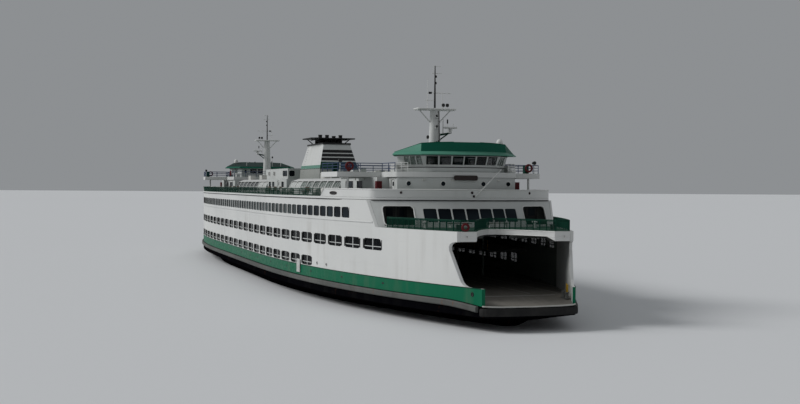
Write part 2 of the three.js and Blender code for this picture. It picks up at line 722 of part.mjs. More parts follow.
function railing(path, low, high, postPitch) {
  const normalAt = (i) => {
    const [before, after] = [path[Math.max(0, i - 1)], path[Math.min(path.length - 1, i + 1)]];
    const here = path[i];
    const into = new THREE.Vector2(here[0] - before[0], here[1] - before[1]).normalize();
    const out = new THREE.Vector2(after[0] - here[0], after[1] - here[1]).normalize();
    const along = into.clone().add(out).normalize();
    const spread = 1 / Math.max(0.5, along.dot(out.length() ? out : into));
    return [-along.y * rail.half * spread, along.x * rail.half * spread];
  };
  const sections = path.map(([x, y], i) => {
    const [nx, ny] = normalAt(i);
    return [
      [x + nx, y + ny, low],
      [x - nx, y - ny, low],
      [x - nx, y - ny, high],
      [x + nx, y + ny, high],
    ];
  });
  const bays = [];
  for (let i = 0; i + 1 < path.length; i += 1) {
    const length = Math.hypot(path[i + 1][0] - path[i][0], path[i + 1][1] - path[i][1]);
    const count = Math.max(1, Math.round(length / postPitch));
    const share = 1 - (rail.post * count) / length;
    bays.push(...windowsAlong(path[i], path[i + 1], count, share, [low + rail.bar, high - rail.bar]));
  }
  return cut(loft(sections), bays);
}

for (const [name, side] of sides) {
  const ends = [-sun.start + 0.3, sun.start - 0.3];
  const path = stationsBetween(...ends).map((x) => [x, side * (sunHalf(x) - 0.12)]);
  const fence = railing(path, level.sunDeck + gap, level.sunBulwark - 0.02, 3.4);
  addPiece(`sun_rail_${name}`, fence, paint.green);
}
for (const [name, end] of bothEnds) {
  const inset = 0.1;
  const half = [
    ...[56, 59.5, 62.5, mouth.x - inset].map((x) => [x, insideShell(x) - inset]),
    [mouth.x - inset, fork.inner + 0.15],
    ...forkY.slice(1).map((y) => [forkX(y) - 0.2, y]),
  ];
  const fence = railing(mirror(half), level.passengerDeck + gap, level.passengerDeck + 1.1, 2.4);
  addPiece(`promenade_rail_${name}`, toEnd(fence, end), paint.green);
}
for (const [name, end] of bothEnds) {
  const inset = 0.12;
  const half = [
    [51.4, 6.46],
    [wing.front - inset, 6.46],
    [wing.front - inset, wing.tipFront - inset],
    [wing.back + inset, wing.tipBack - inset],
    [wing.back + inset, 7.65],
    [house.back + inset, 7.65],
  ];
  const fence = railing(mirror(half), level.navDeck + gap, level.navDeck + 0.92, 2.4);
  addPiece(`nav_rail_${name}`, toEnd(fence, end), paint.grey);
}

// Propellers and rudders
const propeller = { x: 56.6, length: 1.7, hub: 0.45, blade: 1.62, blades: 4, pitch: 35 };
for (const [name, end] of bothEnds) {
  const centre = propeller.x + propeller.length / 2;
  const parts = [
    bar([sternTube.to + gap, 0, 0], [propeller.x + 0.1, 0, 0], 0.24, 10),
    bar([propeller.x, 0, 0], [propeller.x + propeller.length, 0, 0], propeller.hub, 12),
  ];
  for (let i = 0; i < propeller.blades; i += 1) {
    const blade = new THREE.CylinderGeometry(0.66, 0.66, 0.1, 14).rotateX(Math.PI / 2);
    blade.scale(0.75, 1, 1).translate(0, 0.96, 0).rotateX(Math.PI / 2);
    blade.rotateZ(THREE.MathUtils.degToRad(90 - propeller.pitch));
    blade.rotateX((i / propeller.blades) * 2 * Math.PI).translate(centre, 0, 0);
    parts.push(blade);
  }
  const wheel = fuse(parts).translate(0, 0, sternTube.z);
  addPiece(`propeller_${name}`, toEnd(wheel, end), paint.bronze);
}
const rudder = { fore: 59.4, aft: 62.4, thick: 0.42, low: -5.1, high: -1.85 };
for (const [name, end] of bothEnds) {
  const { fore, aft, thick, low, high } = rudder;
  const x = rudderTrunk.x;
  const outline = [[fore, 0.06], [x, thick / 2], [aft, 0.04], [aft, -0.04], [x, -thick / 2], [fore, -0.06]];
  const parts = [
    prism(outline, [low, high]),
    bar([x, 0, high - 0.1], [x, 0, rudderTrunk.low - gap], 0.28, 12),
  ];
  addPiece(`rudder_${name}`, toEnd(fuse(parts), end), paint.black);
}

const model = new THREE.Group();
model.add(ferry);
model.scale.setScalar(modelScale);

export default model;
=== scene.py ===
import math
from functools import cached_property

import bmesh
import bpy
from mathutils import Matrix, Vector


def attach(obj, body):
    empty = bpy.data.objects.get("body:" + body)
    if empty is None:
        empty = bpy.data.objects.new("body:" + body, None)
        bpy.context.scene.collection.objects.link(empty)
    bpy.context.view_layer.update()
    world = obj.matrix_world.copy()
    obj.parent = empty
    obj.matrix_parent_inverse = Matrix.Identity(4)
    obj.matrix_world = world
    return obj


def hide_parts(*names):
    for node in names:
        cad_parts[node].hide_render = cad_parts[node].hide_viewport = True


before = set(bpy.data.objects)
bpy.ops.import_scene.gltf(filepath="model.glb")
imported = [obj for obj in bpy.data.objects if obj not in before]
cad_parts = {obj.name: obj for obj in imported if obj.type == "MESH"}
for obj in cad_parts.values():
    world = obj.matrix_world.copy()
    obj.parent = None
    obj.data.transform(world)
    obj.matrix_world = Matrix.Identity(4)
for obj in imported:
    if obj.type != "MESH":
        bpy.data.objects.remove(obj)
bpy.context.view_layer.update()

# Sizes are metres of the real ship. +X is the near end, -Y the side towards the camera.
ship = {
    "scale": 0.1,
    "half": 13.45,
    "flat": 12,  # half the length of the straight sides
    "end": 69.2,
    "endHalf": 4.41,
    "power": 2.78,
    "tip": 69.9,
    "sheerFrom": 65,
    "sheerDrop": 0.45,
    "deckBow": 0.025,
    "houseBow": 0.048,
    "gap": 0.003,  # what pieces that meet keep between them
}
level = {
    "carDeck": 2.58,
    "bulwark": 3.72,
    "corner": 7.57,
    "passengerBeam": 7.95,
    "passengerDeck": 8.47,
    "ledge": 8.92,
    "sunBeam": 11.05,
    "sunDeck": 11.3,
    "sunBulwark": 12.1,
    "navBeam": 13.3,
    "navDeck": 13.85,
    "roof": 15.5,
}
sides = [("port", 1), ("starboard", -1)]
bothEnds = [("near", 1), ("far", -1)]


def halfBeam(x):
    beyond = max(0.0, abs(x) - ship["flat"]) / (ship["end"] - ship["flat"])
    return ship["half"] - (ship["half"] - ship["endHalf"]) * min(beyond, 1.0) ** ship["power"]


def beside(away):
    # The line this far outside the ship's side
    return lambda x: halfBeam(x) + away


def deckHeight(x):
    beyond = max(0.0, abs(x) - ship["sheerFrom"]) / (ship["tip"] - ship["sheerFrom"])
    return level["carDeck"] - ship["sheerDrop"] * beyond**1.5


def spread(low, high, step):
    count = max(1, round(abs(high - low) / step))
    return [low + (high - low) * i / count for i in range(count + 1)]


# Outlines and paths

def circle(count):
    return [(math.cos(a), math.sin(a)) for a in (2 * math.pi * k / count for k in range(count))]


def bend(start, control, end, steps=4):
    # Points of a quadratic curve, both ends included
    a, b, c = Vector(start), Vector(control), Vector(end)
    return [tuple(a * (1 - t) ** 2 + b * 2 * t * (1 - t) + c * t**2)
            for t in (k / steps for k in range(steps + 1))]


def rounded(points, radius):
    # Rounds each corner of a convex outline
    out = []
    for i, point in enumerate(points):
        here = Vector(point)
        before, after = (Vector(points[j % len(points)]) - here for j in (i - 1, i + 1))
        reach = min(radius, before.length / 2.02, after.length / 2.02)
        out += bend(here + before.normalized() * reach, here, here + after.normalized() * reach)
    return out


def box2d(a, b):
    return [(a[0], b[0]), (a[1], b[0]), (a[1], b[1]), (a[0], b[1])]


def roundedBox(a, b, radius):
    return rounded(box2d(a, b), radius)


def onPlane(outline, axis, place):
    # Lays an outline of two coordinates across an axis
    spot = "xyz".index(axis)
    return [(*point[:spot], place, *point[spot:]) for point in outline]


def bothSidesOf(half):
    return half + [(x, -y, *z) for x, y, *z in reversed(half)]


def alongPath(path, pitch):
    # Evenly spaced points on each straight run of a path
    out = []
    for a, b in zip(path, path[1:]):
        run = Vector(b) - Vector(a)
        count = max(1, round(run.length / pitch))
        out += [Vector(a) + run * k / count for k in range(count)]
    return out + [Vector(path[-1])]


# Shapes, all added to an open bmesh

def addLoft(bm, sections, mat=0, closed=False):
    rings = [[bm.verts.new(point) for point in section] for section in sections]
    faces = [] if closed else [rings[0], rings[-1]]
    for a, b in zip(rings, rings[1:] + rings[:1] * closed):
        faces += [(a[i - 1], a[i], b[i], b[i - 1]) for i in range(len(a))]
    for corners in faces:
        bm.faces.new(corners).material_index = mat


def addExtrude(bm, outline, axis, low, high, mat=0):
    addLoft(bm, [onPlane(outline, axis, place) for place in (low, high)], mat)


def addBox(bm, x, y, z, mat=0):
    addExtrude(bm, box2d(x, y), "z", *z, mat)


def addBlock(bm, centre, size, mat=0):
    addBox(bm, *((middle - width / 2, middle + width / 2) for middle, width in zip(centre, size)), mat)


def addTube(bm, points, radius, mat=0, count=8, closed=False):
    # A round bar along points. radius may be a list, one for each point
    path = [Vector(point) for point in points]
    radii = radius if isinstance(radius, list) else [radius] * len(path)
    side, sections = None, []
    for i, (point, reach) in enumerate(zip(path, radii)):
        before = path[i - 1] if closed or i else point
        after = path[(i + 1) % len(path)] if closed or i + 1 < len(path) else point
        along = (after - before).normalized()
        side = along.orthogonal() if side is None else side
        side = (side - along * side.dot(along)).normalized()
        other = along.cross(side)
        sections.append([point + (side * a + other * b) * reach for a, b in circle(count)])
    addLoft(bm, sections, mat, closed)


def addTurned(bm, profile, centre, mat=0, count=16):
    # profile holds radius and height pairs, from the bottom up
    x, y, z = centre
    addLoft(bm, [[(x + r * a, y + r * b, z + up) for a, b in circle(count)] for r, up in profile], mat)


def addSideWall(bm, xs, outer, inner, low, high, mat=0, side=1):
    # A strip of wall along the ship. Each edge is a number or a function of x
    at = lambda edge, x: edge(x) if callable(edge) else edge
    corners = ((outer, low), (outer, high), (inner, high), (inner, low))
    addLoft(bm, [[(x, side * at(y, x), at(z, x)) for y, z in corners] for x in xs], mat)


def addCopies(bm, flips, since=(0, 0, 0)):
    # Copies what is drawn so far, or since then, to other quarters of the ship
    first = [item for part, count in zip((bm.verts, bm.edges, bm.faces), since)
             for item in list(part)[count:]]
    for x, y in flips:
        made = bmesh.ops.duplicate(bm, geom=first)["geom"]
        bmesh.ops.scale(bm, vec=(x, y, 1),
                        verts=[item for item in made if isinstance(item, bmesh.types.BMVert)])


otherSide = [(1, -1)]
otherQuarters = [(1, -1), (-1, 1), (-1, -1)]


# Objects

def makeObject(name, bm, paints="", flip=(1, 1)):
    # flip takes what was drawn for the near end or the port side to its own place
    bmesh.ops.scale(bm, vec=(*flip, 1), verts=bm.verts)
    bmesh.ops.recalc_face_normals(bm, faces=bm.faces)
    mesh = bpy.data.meshes.new(name)
    bm.to_mesh(mesh)
    bm.free()
    for paint in paints.split():
        mesh.materials.append(finish[paint])
    obj = bpy.data.objects.new(name, mesh)
    bpy.context.scene.collection.objects.link(obj)
    return obj


def withModifier(obj, kind, **settings):
    modifier = obj.modifiers.new(kind.lower(), kind)
    for key, value in settings.items():
        setattr(modifier, key, value)
    graph = bpy.context.evaluated_depsgraph_get()
    mesh = bpy.data.meshes.new_from_object(obj.evaluated_get(graph))
    obj.modifiers.clear()
    obj.data = mesh


def cutAway(obj, cutter, flip=(1, 1), scale=1.0):
    tool = makeObject("cutter", cutter, flip=flip)
    tool.data.transform(Matrix.Scale(scale, 4))
    withModifier(obj, "BOOLEAN", operation="DIFFERENCE", solver="EXACT", object=tool)
    bpy.data.objects.remove(tool)


def allSmooth(mesh):
    mesh.polygons.foreach_set("use_smooth", [True] * len(mesh.polygons))


def handOver(obj, body, node):
    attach(obj, body)
    if node:
        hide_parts(node)


def settle(obj, body="ship", node=None):
    # Brings a piece from ship metres to the model's and hands it to its body
    obj.data.transform(Matrix.Scale(ship["scale"], 4))
    handOver(obj, body, node)


def finishPiece(name, bm, paints, flip=(1, 1), body="ship", node=None, angle=40):
    obj = makeObject(name, bm, paints, flip)
    allSmooth(obj.data)
    obj.data.set_sharp_from_angle(angle=math.radians(angle))
    settle(obj, body, node)


def dressedCopy(name, node, paints, width, body="ship", paint=None, cutter=None, flip=(1, 1)):
    # A copy of a CAD solid with its edges rounded, which then stands for it
    obj = bpy.data.objects.new(name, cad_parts[node].data.copy())
    bpy.context.scene.collection.objects.link(obj)
    obj.data.materials.clear()
    for coat in paints.split():
        obj.data.materials.append(finish[coat])
    obj.data.polygons.foreach_set("material_index", [0] * len(obj.data.polygons))
    if cutter:
        cutAway(obj, cutter, flip, ship["scale"])
    bm = bmesh.new()
    bm.from_mesh(obj.data)
    bmesh.ops.remove_doubles(bm, verts=bm.verts, dist=1e-5)
    bmesh.ops.dissolve_limit(bm, angle_limit=math.radians(0.5), verts=bm.verts, edges=bm.edges)
    bm.to_mesh(obj.data)
    bm.free()
    withModifier(obj, "BEVEL", width=width * ship["scale"], segments=2, limit_method="ANGLE",
                 angle_limit=math.radians(35), harden_normals=False)
    allSmooth(obj.data)
    withModifier(obj, "WEIGHTED_NORMAL", weight=100, keep_sharp=True)
    for polygon in obj.data.polygons if paint else ():
        polygon.material_index = paint(polygon.center / ship["scale"], polygon.normal)
    handOver(obj, body, node)


def curvedShading(obj, side):
    # Gives the skin of a ship's side the normals of its true curve, and flat ones elsewhere
    mesh = obj.data
    allSmooth(mesh)
    normals = [None] * len(mesh.loops)
    for polygon in mesh.polygons:
        flat = polygon.normal
        for loop in polygon.loop_indices:
            normals[loop] = flat
            if abs(flat.y) > 0.6 and abs(flat.z) < 0.1:
                x = mesh.vertices[mesh.loops[loop].vertex_index].co.x
                skin = Vector((-sideSlope(x), side, 0)).normalized()
                normals[loop] = skin if skin.dot(flat) > 0 else -skin
    mesh.normals_split_custom_set(normals)


def sideSlope(x):
    return (halfBeam(x + 0.05) - halfBeam(x - 0.05)) / 0.1


# Finishes

class Coat:
    # A material in the making, with short ways to put nodes before its shader
    def __init__(self, name, colour, roughness, metallic=0.0, specular=0.5):
        self.material = bpy.data.materials.new(name)
        self.material.use_nodes = True
        self.tree = self.material.node_tree
        self.shader = self.tree.nodes["Principled BSDF"]
        self.fill(self.shader, {"Base Color": colour, "Roughness": roughness})
        self.fill(self.shader, {"Metallic": metallic, "Specular IOR Level": specular})

    @cached_property
    def place(self):
        return self.add("ShaderNodeTexCoord", {})["Object"]

    def fill(self, node, sockets):
        for key, value in sockets.items():
            socket = node.inputs[key]
            if isinstance(value, bpy.types.NodeSocket):
                self.tree.links.new(value, socket)
            else:
                socket.default_value = (*value[:3], 1) if socket.type == "RGBA" else value

    def add(self, kind, sockets, **settings):
        node = self.tree.nodes.new(kind)
        for key, value in settings.items():
            setattr(node, key, value)
        self.fill(node, sockets)
        return node.outputs

    def noise(self, scale, stretch=(1, 1, 1), detail=4.0, low=0.35, high=0.65):
        # Noise over the model, cut to the range 0 to 1 between low and high
        mapping = self.add("ShaderNodeMapping", {"Vector": self.place, "Scale": stretch})
        noise = self.add("ShaderNodeTexNoise", {"Vector": mapping[0], "Scale": scale, "Detail": detail})
        sockets = {"Value": noise["Fac"], "From Min": low, "From Max": high}
        return self.add("ShaderNodeMapRange", sockets, clamp=True)[0]

    def calc(self, operation, a, b):
        return self.add("ShaderNodeMath", {0: a, 1: b}, operation=operation)[0]

    def times(self, a, b):
        return self.calc("MULTIPLY", a, b)

    def mix(self, factor, a, b, blend="MIX"):
        return self.add("ShaderNodeMix", {0: factor, 6: a, 7: b}, data_type="RGBA", blend_type=blend)[2]

    def vary(self, source, low, high):
        rough = self.add("ShaderNodeMapRange", {"Value": source, "To Min": low, "To Max": high})
        self.fill(self.shader, {"Roughness": rough[0]})

    def done(self, base, height, strength, distance):
        bump = self.add("ShaderNodeBump", {"Height": height, "Strength": strength, "Distance": distance})
        self.fill(self.shader, {"Base Color": base, "Normal": bump[0]})
        return self.material


def shade(colour, factor):
    return tuple(k * factor for k in colour)


def shipPaint(name, colour, roughness, gloss=0.35, bands=(), tone=0.08, grime=0.0,
              grimeColour=(0.2, 0.17, 0.13), rust=0.0, scuff=0.03, buckle=0.5, seams=()):
    # Marine paint on plate, with its bands, broad tone, streaks of grime and spots of rust
    coat = Coat(name, colour, roughness, specular=gloss)
    along, _, height = coat.add("ShaderNodeSeparateXYZ", {0: coat.place})
    base = colour
    for low, high, bandColour in bands:
        above = coat.calc("GREATER_THAN", height, low * ship["scale"])
        below = coat.calc("LESS_THAN", height, high * ship["scale"])
        base = coat.mix(coat.times(above, below), base, bandColour)
    dim = (1 - tone, 1 - tone * 0.95, 1 - tone * 0.9)
    base = coat.mix(coat.noise(0.9, detail=3.0), base, coat.mix(1.0, base, dim, "MULTIPLY"))
    if grime:
        streak = coat.noise(9.0, (1, 1, 0.08), 5.0, 0.5, 0.78)
        patch = coat.noise(1.6, (1, 1, 1.4), 3.0, 0.4, 0.7)
        base = coat.mix(coat.times(coat.times(streak, patch), grime), base, grimeColour)
    if rust:
        spots = coat.noise(26.0, (1, 1, 0.35), 6.0, 0.64, 0.72)
        base = coat.mix(coat.times(spots, rust), base, (0.16, 0.06, 0.025))
    fine = coat.noise(34.0, detail=5.0)
    coat.vary(fine, roughness - 0.07, roughness + 0.1)
    # The relief: buckled plate between frames, fine brush marks, and welded seams
    relief = coat.times(coat.noise(2.6, (1, 1, 1.5), 2.0, 0.2, 0.8), buckle)
    relief = coat.calc("ADD", relief, coat.times(fine, scuff))
    for part, pitch in zip((along, height), seams):
        away = coat.calc("PINGPONG", coat.calc("DIVIDE", part, pitch * ship["scale"]), 0.5)
        weld = coat.calc("LESS_THAN", away, 0.03 / pitch)
        relief = coat.calc("ADD", relief, coat.times(weld, 0.22))
    return coat.done(base, relief, 0.35, 0.006)


def roughCoat(name, colour, roughness, wear, wearColour, grain=60.0):
    # Non-slip coating or rubber: coarse grain with worn lanes
    coat = Coat(name, colour, roughness, specular=0.3)
    lanes = coat.noise(5.0, (0.12, 1, 1), 5.0, 0.42, 0.7)
    spots = coat.noise(14.0, detail=6.0, low=0.5, high=0.72)
    base = coat.mix(coat.times(lanes, wear), colour, wearColour)
    base = coat.mix(coat.times(spots, 0.45), base, shade(colour, 0.55))
    return coat.done(base, coat.noise(grain), 0.4, 0.003)


def paneGlass(name, colour, tone, roughness, shine, film, density=1.0):
    # Panes whose sky reflection or film of salt differs a little from one to the next
    coat = Coat(name, colour, roughness, specular=shine)
    coat.shader.inputs["Alpha"].default_value = density
    return coat.done(coat.mix(coat.noise(*film), colour, tone), coat.noise(3.0, detail=1.0), 0.08, 0.004)


def tintedGlass(name, colour, tone):
    return paneGlass(name, colour, tone, 0.12, 0.03, (4.2, (1, 0.2, 0.6), 2.0, 0.38, 0.66))


def seeThroughGlass(name, colour, density, shine=0.3):
    return paneGlass(name, colour, shade(colour, 1.9), 0.1, shine, (5.0, (1, 1, 0.5), 4.0, 0.4, 0.75),
                     density)


def bareMetal(name, colour, roughness):
    # Cast or rolled metal, dulled in broad patches and finely scratched
    coat = Coat(name, colour, roughness, metallic=1.0)
    patch = coat.noise(7.0)
    coat.vary(patch, roughness - 0.08, roughness + 0.2)
    base = coat.mix(coat.times(patch, 0.6), colour, shade(colour, 0.5))
    return coat.done(base, coat.noise(50.0, (1, 1, 0.2)), 0.2, 0.002)


white = (0.66, 0.665, 0.65)
bandGreen = (0.001, 0.125, 0.06)
stripe = (0.006, 0.006, 0.007)
plinth = [(13.0, 14.8, (0.3, 0.31, 0.29)), (18.2, 19.0, (0.012, 0.012, 0.013))]
funnelStripes = [(14.8, 15.76, (0.003, 0.06, 0.035)), (15.93, 16.33, stripe), (16.49, 16.9, stripe),
                 (17.04, 17.46, stripe)]
underwater = [(-6.0, -0.1, (0.075, 0.02, 0.014))]
finish = {
    "side": shipPaint("sidePaint", white, 0.42, 0.12, [(2.0, 3.72, bandGreen)], 0.09, 0.32,
                      seams=(5.79, 2.45), buckle=0.55),
    "white": shipPaint("whitePaint", white, 0.42, tone=0.09, grime=0.25, seams=(5.79, 2.45)),
    "house": shipPaint("housePaint", (0.56, 0.575, 0.56), 0.45, tone=0.1, grime=0.3, seams=(3.86, 1.3),
                       buckle=0.6),
    "trim": shipPaint("trimPaint", (0.7, 0.7, 0.68), 0.4, tone=0.06, grime=0.15, buckle=0.2),
    # Dark paints for the insides of the car deck and cabins, the window reveals and the undersides of decks:
    # painted shade, darker than their real light paint
    "inside": shipPaint("insidePaintedShade", (0.2, 0.235, 0.21), 0.6, tone=0.2, grime=0.6,
                        grimeColour=(0.05, 0.045, 0.04), seams=(2.9, 2.4)),
    "reveal": shipPaint("revealPaintedShade", (0.07, 0.078, 0.074), 0.6, tone=0.2, grime=0.6),
    "ceiling": shipPaint("ceilingPaintedShade", (0.07, 0.075, 0.07), 0.7, tone=0.3, grime=0.5),
    "green": shipPaint("railGreen", (0.002, 0.04, 0.024), 0.5, 0.1, tone=0.2, grime=0.1, buckle=0.1),
    "roof": shipPaint("roofGreen", (0.001, 0.1, 0.06), 0.45, 0.15, tone=0.15, grime=0.15,
                      grimeColour=(0.1, 0.16, 0.12), seams=(2.4, 9)),
    "roofTop": roughCoat("roofTopCoat", (0.004, 0.022, 0.018), 0.8, 0.4, (0.012, 0.04, 0.032)),
    # A paler green with grime: painted highlight and sky sheen for the near roof's flange and its sunny
    # cheek
    "roofLight": shipPaint("sheenAndGrimeGreen", (0.09, 0.3, 0.21), 0.5, tone=0.2, grime=0.5,
                           grimeColour=(0.16, 0.26, 0.2)),
    "guard": shipPaint("guardGrey", (0.105, 0.108, 0.1), 0.62, tone=0.35, grime=0.75,
                       grimeColour=(0.04, 0.032, 0.026), rust=0.7, scuff=0.2),
    "hull": shipPaint("hullBlack", (0.003, 0.003, 0.004), 0.7, 0.0, underwater, 0.3, 0.5,
                      (0.016, 0.016, 0.014), 0.2, seams=(6, 2.2)),
    "deck": roughCoat("carDeckCoat", (0.17, 0.158, 0.138), 0.8, 0.6, (0.24, 0.225, 0.2)),
    "walkway": roughCoat("walkwayCoat", (0.035, 0.09, 0.06), 0.75, 0.4, (0.07, 0.12, 0.09)),
    "rubber": roughCoat("fenderRubber", (0.014, 0.014, 0.014), 0.85, 0.5, (0.04, 0.038, 0.035), 40.0),
    "soot": roughCoat("sootedSteel", (0.01, 0.01, 0.01), 0.7, 0.4, (0.03, 0.028, 0.026), 30.0),
    "canvas": roughCoat("canisterWhite", (0.55, 0.55, 0.52), 0.55, 0.3, (0.4, 0.39, 0.36), 90.0),
    "wood": roughCoat("benchWood", (0.07, 0.05, 0.035), 0.7, 0.6, (0.11, 0.085, 0.06), 50.0),
    "black": shipPaint("blackPaint", (0.012, 0.012, 0.013), 0.5, tone=0.4, grime=0.2, buckle=0.1),
    "yellow": shipPaint("safetyYellow", (0.55, 0.33, 0.02), 0.45, tone=0.2, grime=0.3, rust=0.3),
    "red": shipPaint("safetyRed", (0.11, 0.01, 0.013), 0.45, 0.2, tone=0.2, grime=0.2, buckle=0.1),
    "lineWhite": shipPaint("linePaint", (0.5, 0.5, 0.47), 0.6, tone=0.3, grime=0.9, scuff=0.2),
    "blueGrey": shipPaint("blueGreyPaint", (0.05, 0.075, 0.15), 0.5, 0.2, tone=0.2, buckle=0.1),
    "brown": shipPaint("boardBrown", (0.035, 0.022, 0.02), 0.6, tone=0.3, buckle=0.1),
    "lamp": shipPaint("lampWhite", (0.6, 0.6, 0.56), 0.3, tone=0.02, buckle=0.05),
    "funnelEnd": shipPaint("funnelEndPaint", (0.6, 0.61, 0.6), 0.42, bands=plinth + funnelStripes,
                           tone=0.1, grime=0.25),
    "funnelSide": shipPaint("funnelSidePaint", white, 0.42, tone=0.1, grime=0.25,
                            bands=plinth + [(14.84, 15.3, (0.1, 0.25, 0.19))]),
    "bronze": bareMetal("propellerBronze", (0.6, 0.36, 0.14), 0.34),
    "steel": bareMetal("bareSteel", (0.4, 0.4, 0.39), 0.42),
    "glass": tintedGlass("cabinGlass", (0.005, 0.007, 0.01), (0.02, 0.028, 0.034)),
    # A paler glass for the cabin windows amidships: painted reflection of the sky
    "blinds": tintedGlass("grazingSheenGlass", (0.035, 0.045, 0.045), (0.11, 0.13, 0.13)),
    "pilotGlass": seeThroughGlass("pilotGlass", (0.006, 0.009, 0.011), 0.5),
    "loadGlass": seeThroughGlass("loadGlass", (0.004, 0.005, 0.006), 0.72, 0.04),
    "shelterGlass": seeThroughGlass("shelterGlass", (0.2, 0.24, 0.22), 0.42),
}
print("finishes made:", len(finish))

# The camera stands where the photographer did
camera = {
    "place": (155.992, -40.349, 12.377),
    "turn": 18.216,
    "down": 0.808,
    "roll": -0.431,
    "focal": 1106.66,
    "photoWidth": 800,
    "sensor": 36,
}
studio = {
    "floorSize": 400,
    "floorColour": (0.74, 0.75, 0.76),
    "world": (0.74, 0.77, 0.8),
    "worldStrength": 0.36,
    "lights": [
        # name, where it comes from, strength, spread in degrees
        ("keyLight", (-0.3, -0.86, 0.62), 1.85, 24),
        ("fillLight", (0.8, -0.25, 0.5), 0.05, 60),
    ],
}


def makeCamera():
    turn, down, roll = (math.radians(camera[key]) for key in ("turn", "down", "roll"))
    ahead = Vector((-math.cos(turn), math.sin(turn), 0))
    right = Vector((math.sin(turn), math.cos(turn), 0))
    up = Vector((0, 0, 1))
    view = ahead * math.cos(down) - up * math.sin(down)
    top = up * math.cos(down) + ahead * math.sin(down)
    rolledRight = right * math.cos(roll) - top * math.sin(roll)
    rolledTop = top * math.cos(roll) + right * math.sin(roll)
    data = bpy.data.cameras.new("photoCamera")
    data.sensor_width = camera["sensor"]
    data.lens = camera["focal"] * camera["sensor"] / camera["photoWidth"]
    data.clip_end = 500
    obj = bpy.data.objects.new("photoCamera", data)
    bpy.context.scene.collection.objects.link(obj)
    axes = Matrix((rolledRight, rolledTop, -view)).transposed().to_4x4()
    obj.matrix_world = Matrix.Translation(Vector(camera["place"]) * ship["scale"]) @ axes
    bpy.context.scene.camera = obj


def makeStudio():
    reach = (-studio["floorSize"] / 2, studio["floorSize"] / 2)
    bm = bmesh.new()
    bm.faces.new([bm.verts.new(point) for point in onPlane(box2d(reach, reach), "z", 0)])
    floor = makeObject("studioFloor", bm)
    floor.data.materials.append(Coat("floorPaint", studio["floorColour"], 0.8, specular=0.2).material)
    world = bpy.data.worlds.new("studioWorld")
    bpy.context.scene.world = world
    world.use_nodes = True
    background = world.node_tree.nodes["Background"]
    background.inputs["Color"].default_value = (*studio["world"], 1)
    background.inputs["Strength"].default_value = studio["worldStrength"]
    for name, direction, strength, angle in studio["lights"]:
        data = bpy.data.lights.new(name, "SUN")
        data.energy = strength
        data.angle = math.radians(angle)
        lamp = bpy.data.objects.new(name, data)
        bpy.context.scene.collection.objects.link(lamp)
        lamp.rotation_euler = Vector(direction).to_track_quat("Z", "Y").to_euler()


makeCamera()
makeStudio()
bpy.context.scene.view_settings.view_transform = "Standard"
print("camera, floor and light ready")

# Car deck sides: one curved skin for each length of plating, with its raked end and rounded windows
carSide = {
    "wall": 0.3,
    "butt": 1.93,
    "rows": [(3.8, 4.84, 10), (6.26, 7.36, 14)],
    "rakedRow": 14,
    "pitch": 3.86,
    "half": 1.5,
    "corner": 0.3,
    "rake": 0.3,
    "mullion": 0.1,
    "barHeight": 0.3,
    "barThick": 0.07,
    "recess": 0.07,
    "glassIn": 0.12,
    "gasket": 0.17,
    "cut": (3, 15),
}
mouth = {
    "paintedSunlitFrom": 57.2,
    "x": 66.35,
    "top": 66.1,
    "waist": 65.4,
    "waistZ": 6.8,
    "foot": 66.65,
    "footZ": 4.45,
    "low": 67.8,
}
# The passenger deck's end is a fork: its notch widens towards the end
notch = {"from": 60.8, "inner": 3.76, "power": 1.5}


def notchX(y):
    return notch["from"] + (mouth["x"] - notch["from"]) * (abs(y) / notch["inner"]) ** notch["power"]


def notchHalf(x):
    beyond = max(0.0, abs(x) - notch["from"]) / (mouth["x"] - notch["from"])
    return notch["inner"] * min(1.0, beyond) ** (1 / notch["power"])


def mouthOutline():
    corner, bulwark, waist, foot = level["corner"], level["bulwark"], mouth["waist"], mouth["foot"]
    points = [(mouth["x"], 9.5), (mouth["x"], corner)]
    points += bend((mouth["top"], corner), (waist - 0.2, corner - 0.1), (waist, mouth["waistZ"]))
    points += bend((foot, mouth["footZ"]), (foot + 0.3, bulwark), (mouth["low"], bulwark))
    return points + [(72, bulwark), (72, 9.5)]


def carWindow(i, count, low, high):
    # The last window of the upper row has a raked outer edge
    x, half = i * carSide["pitch"], carSide["half"]
    lean = carSide["rake"] if abs(i) == carSide["rakedRow"] else 0
    left, right = (x - half - lean * (i < 0), low), (x + half + lean * (i > 0), low)
    return rounded([left, right, (x + half, high), (x - half, high)], carSide["corner"])


def makeCarSides():
    lengths = [("near", carSide["butt"] + ship["gap"], ship["end"]),
               ("far", -ship["end"], carSide["butt"])]
    for name, side in sides:
        for lengthName, start, stop in lengths:
            bm = bmesh.new()
            addSideWall(bm, spread(start, stop, 0.7), halfBeam, beside(-carSide["wall"]),
                        lambda x: deckHeight(x) + ship["gap"], level["passengerDeck"])
            skin = makeObject(f"side_{name}_{lengthName}", bm, "side inside reveal house", (1, side))
            bm = bmesh.new()
            addExtrude(bm, mouthOutline(), "y", *carSide["cut"])
            addCopies(bm, [(-1, 1)])
            for low, high, count in carSide["rows"]:
                for i in range(-count, count + 1):
                    addExtrude(bm, carWindow(i, count, low, high), "y", *carSide["cut"])
            cutAway(skin, bm, (1, side))
            # Window reveals take painted shade and the inner face the dark inside paint, also painted shade;
            # near the mouths the inner face takes the white house paint instead, a painted pool of sunlight
            # falling in through the mouth
            for polygon in skin.data.polygons:
                x, _, z = polygon.center
                reveal = abs(polygon.normal.y) < 0.5 and abs(x) < 58 and 3.75 < z < 7.45
                inward = polygon.normal.y * side < -0.5
                paintedSunlit = abs(x) > mouth["paintedSunlitFrom"]
                polygon.material_index = 2 if reveal else (3 if paintedSunlit else 1) if inward else 0
            curvedShading(skin, side)
            settle(skin, node=f"shell_{name}_{lengthName}")


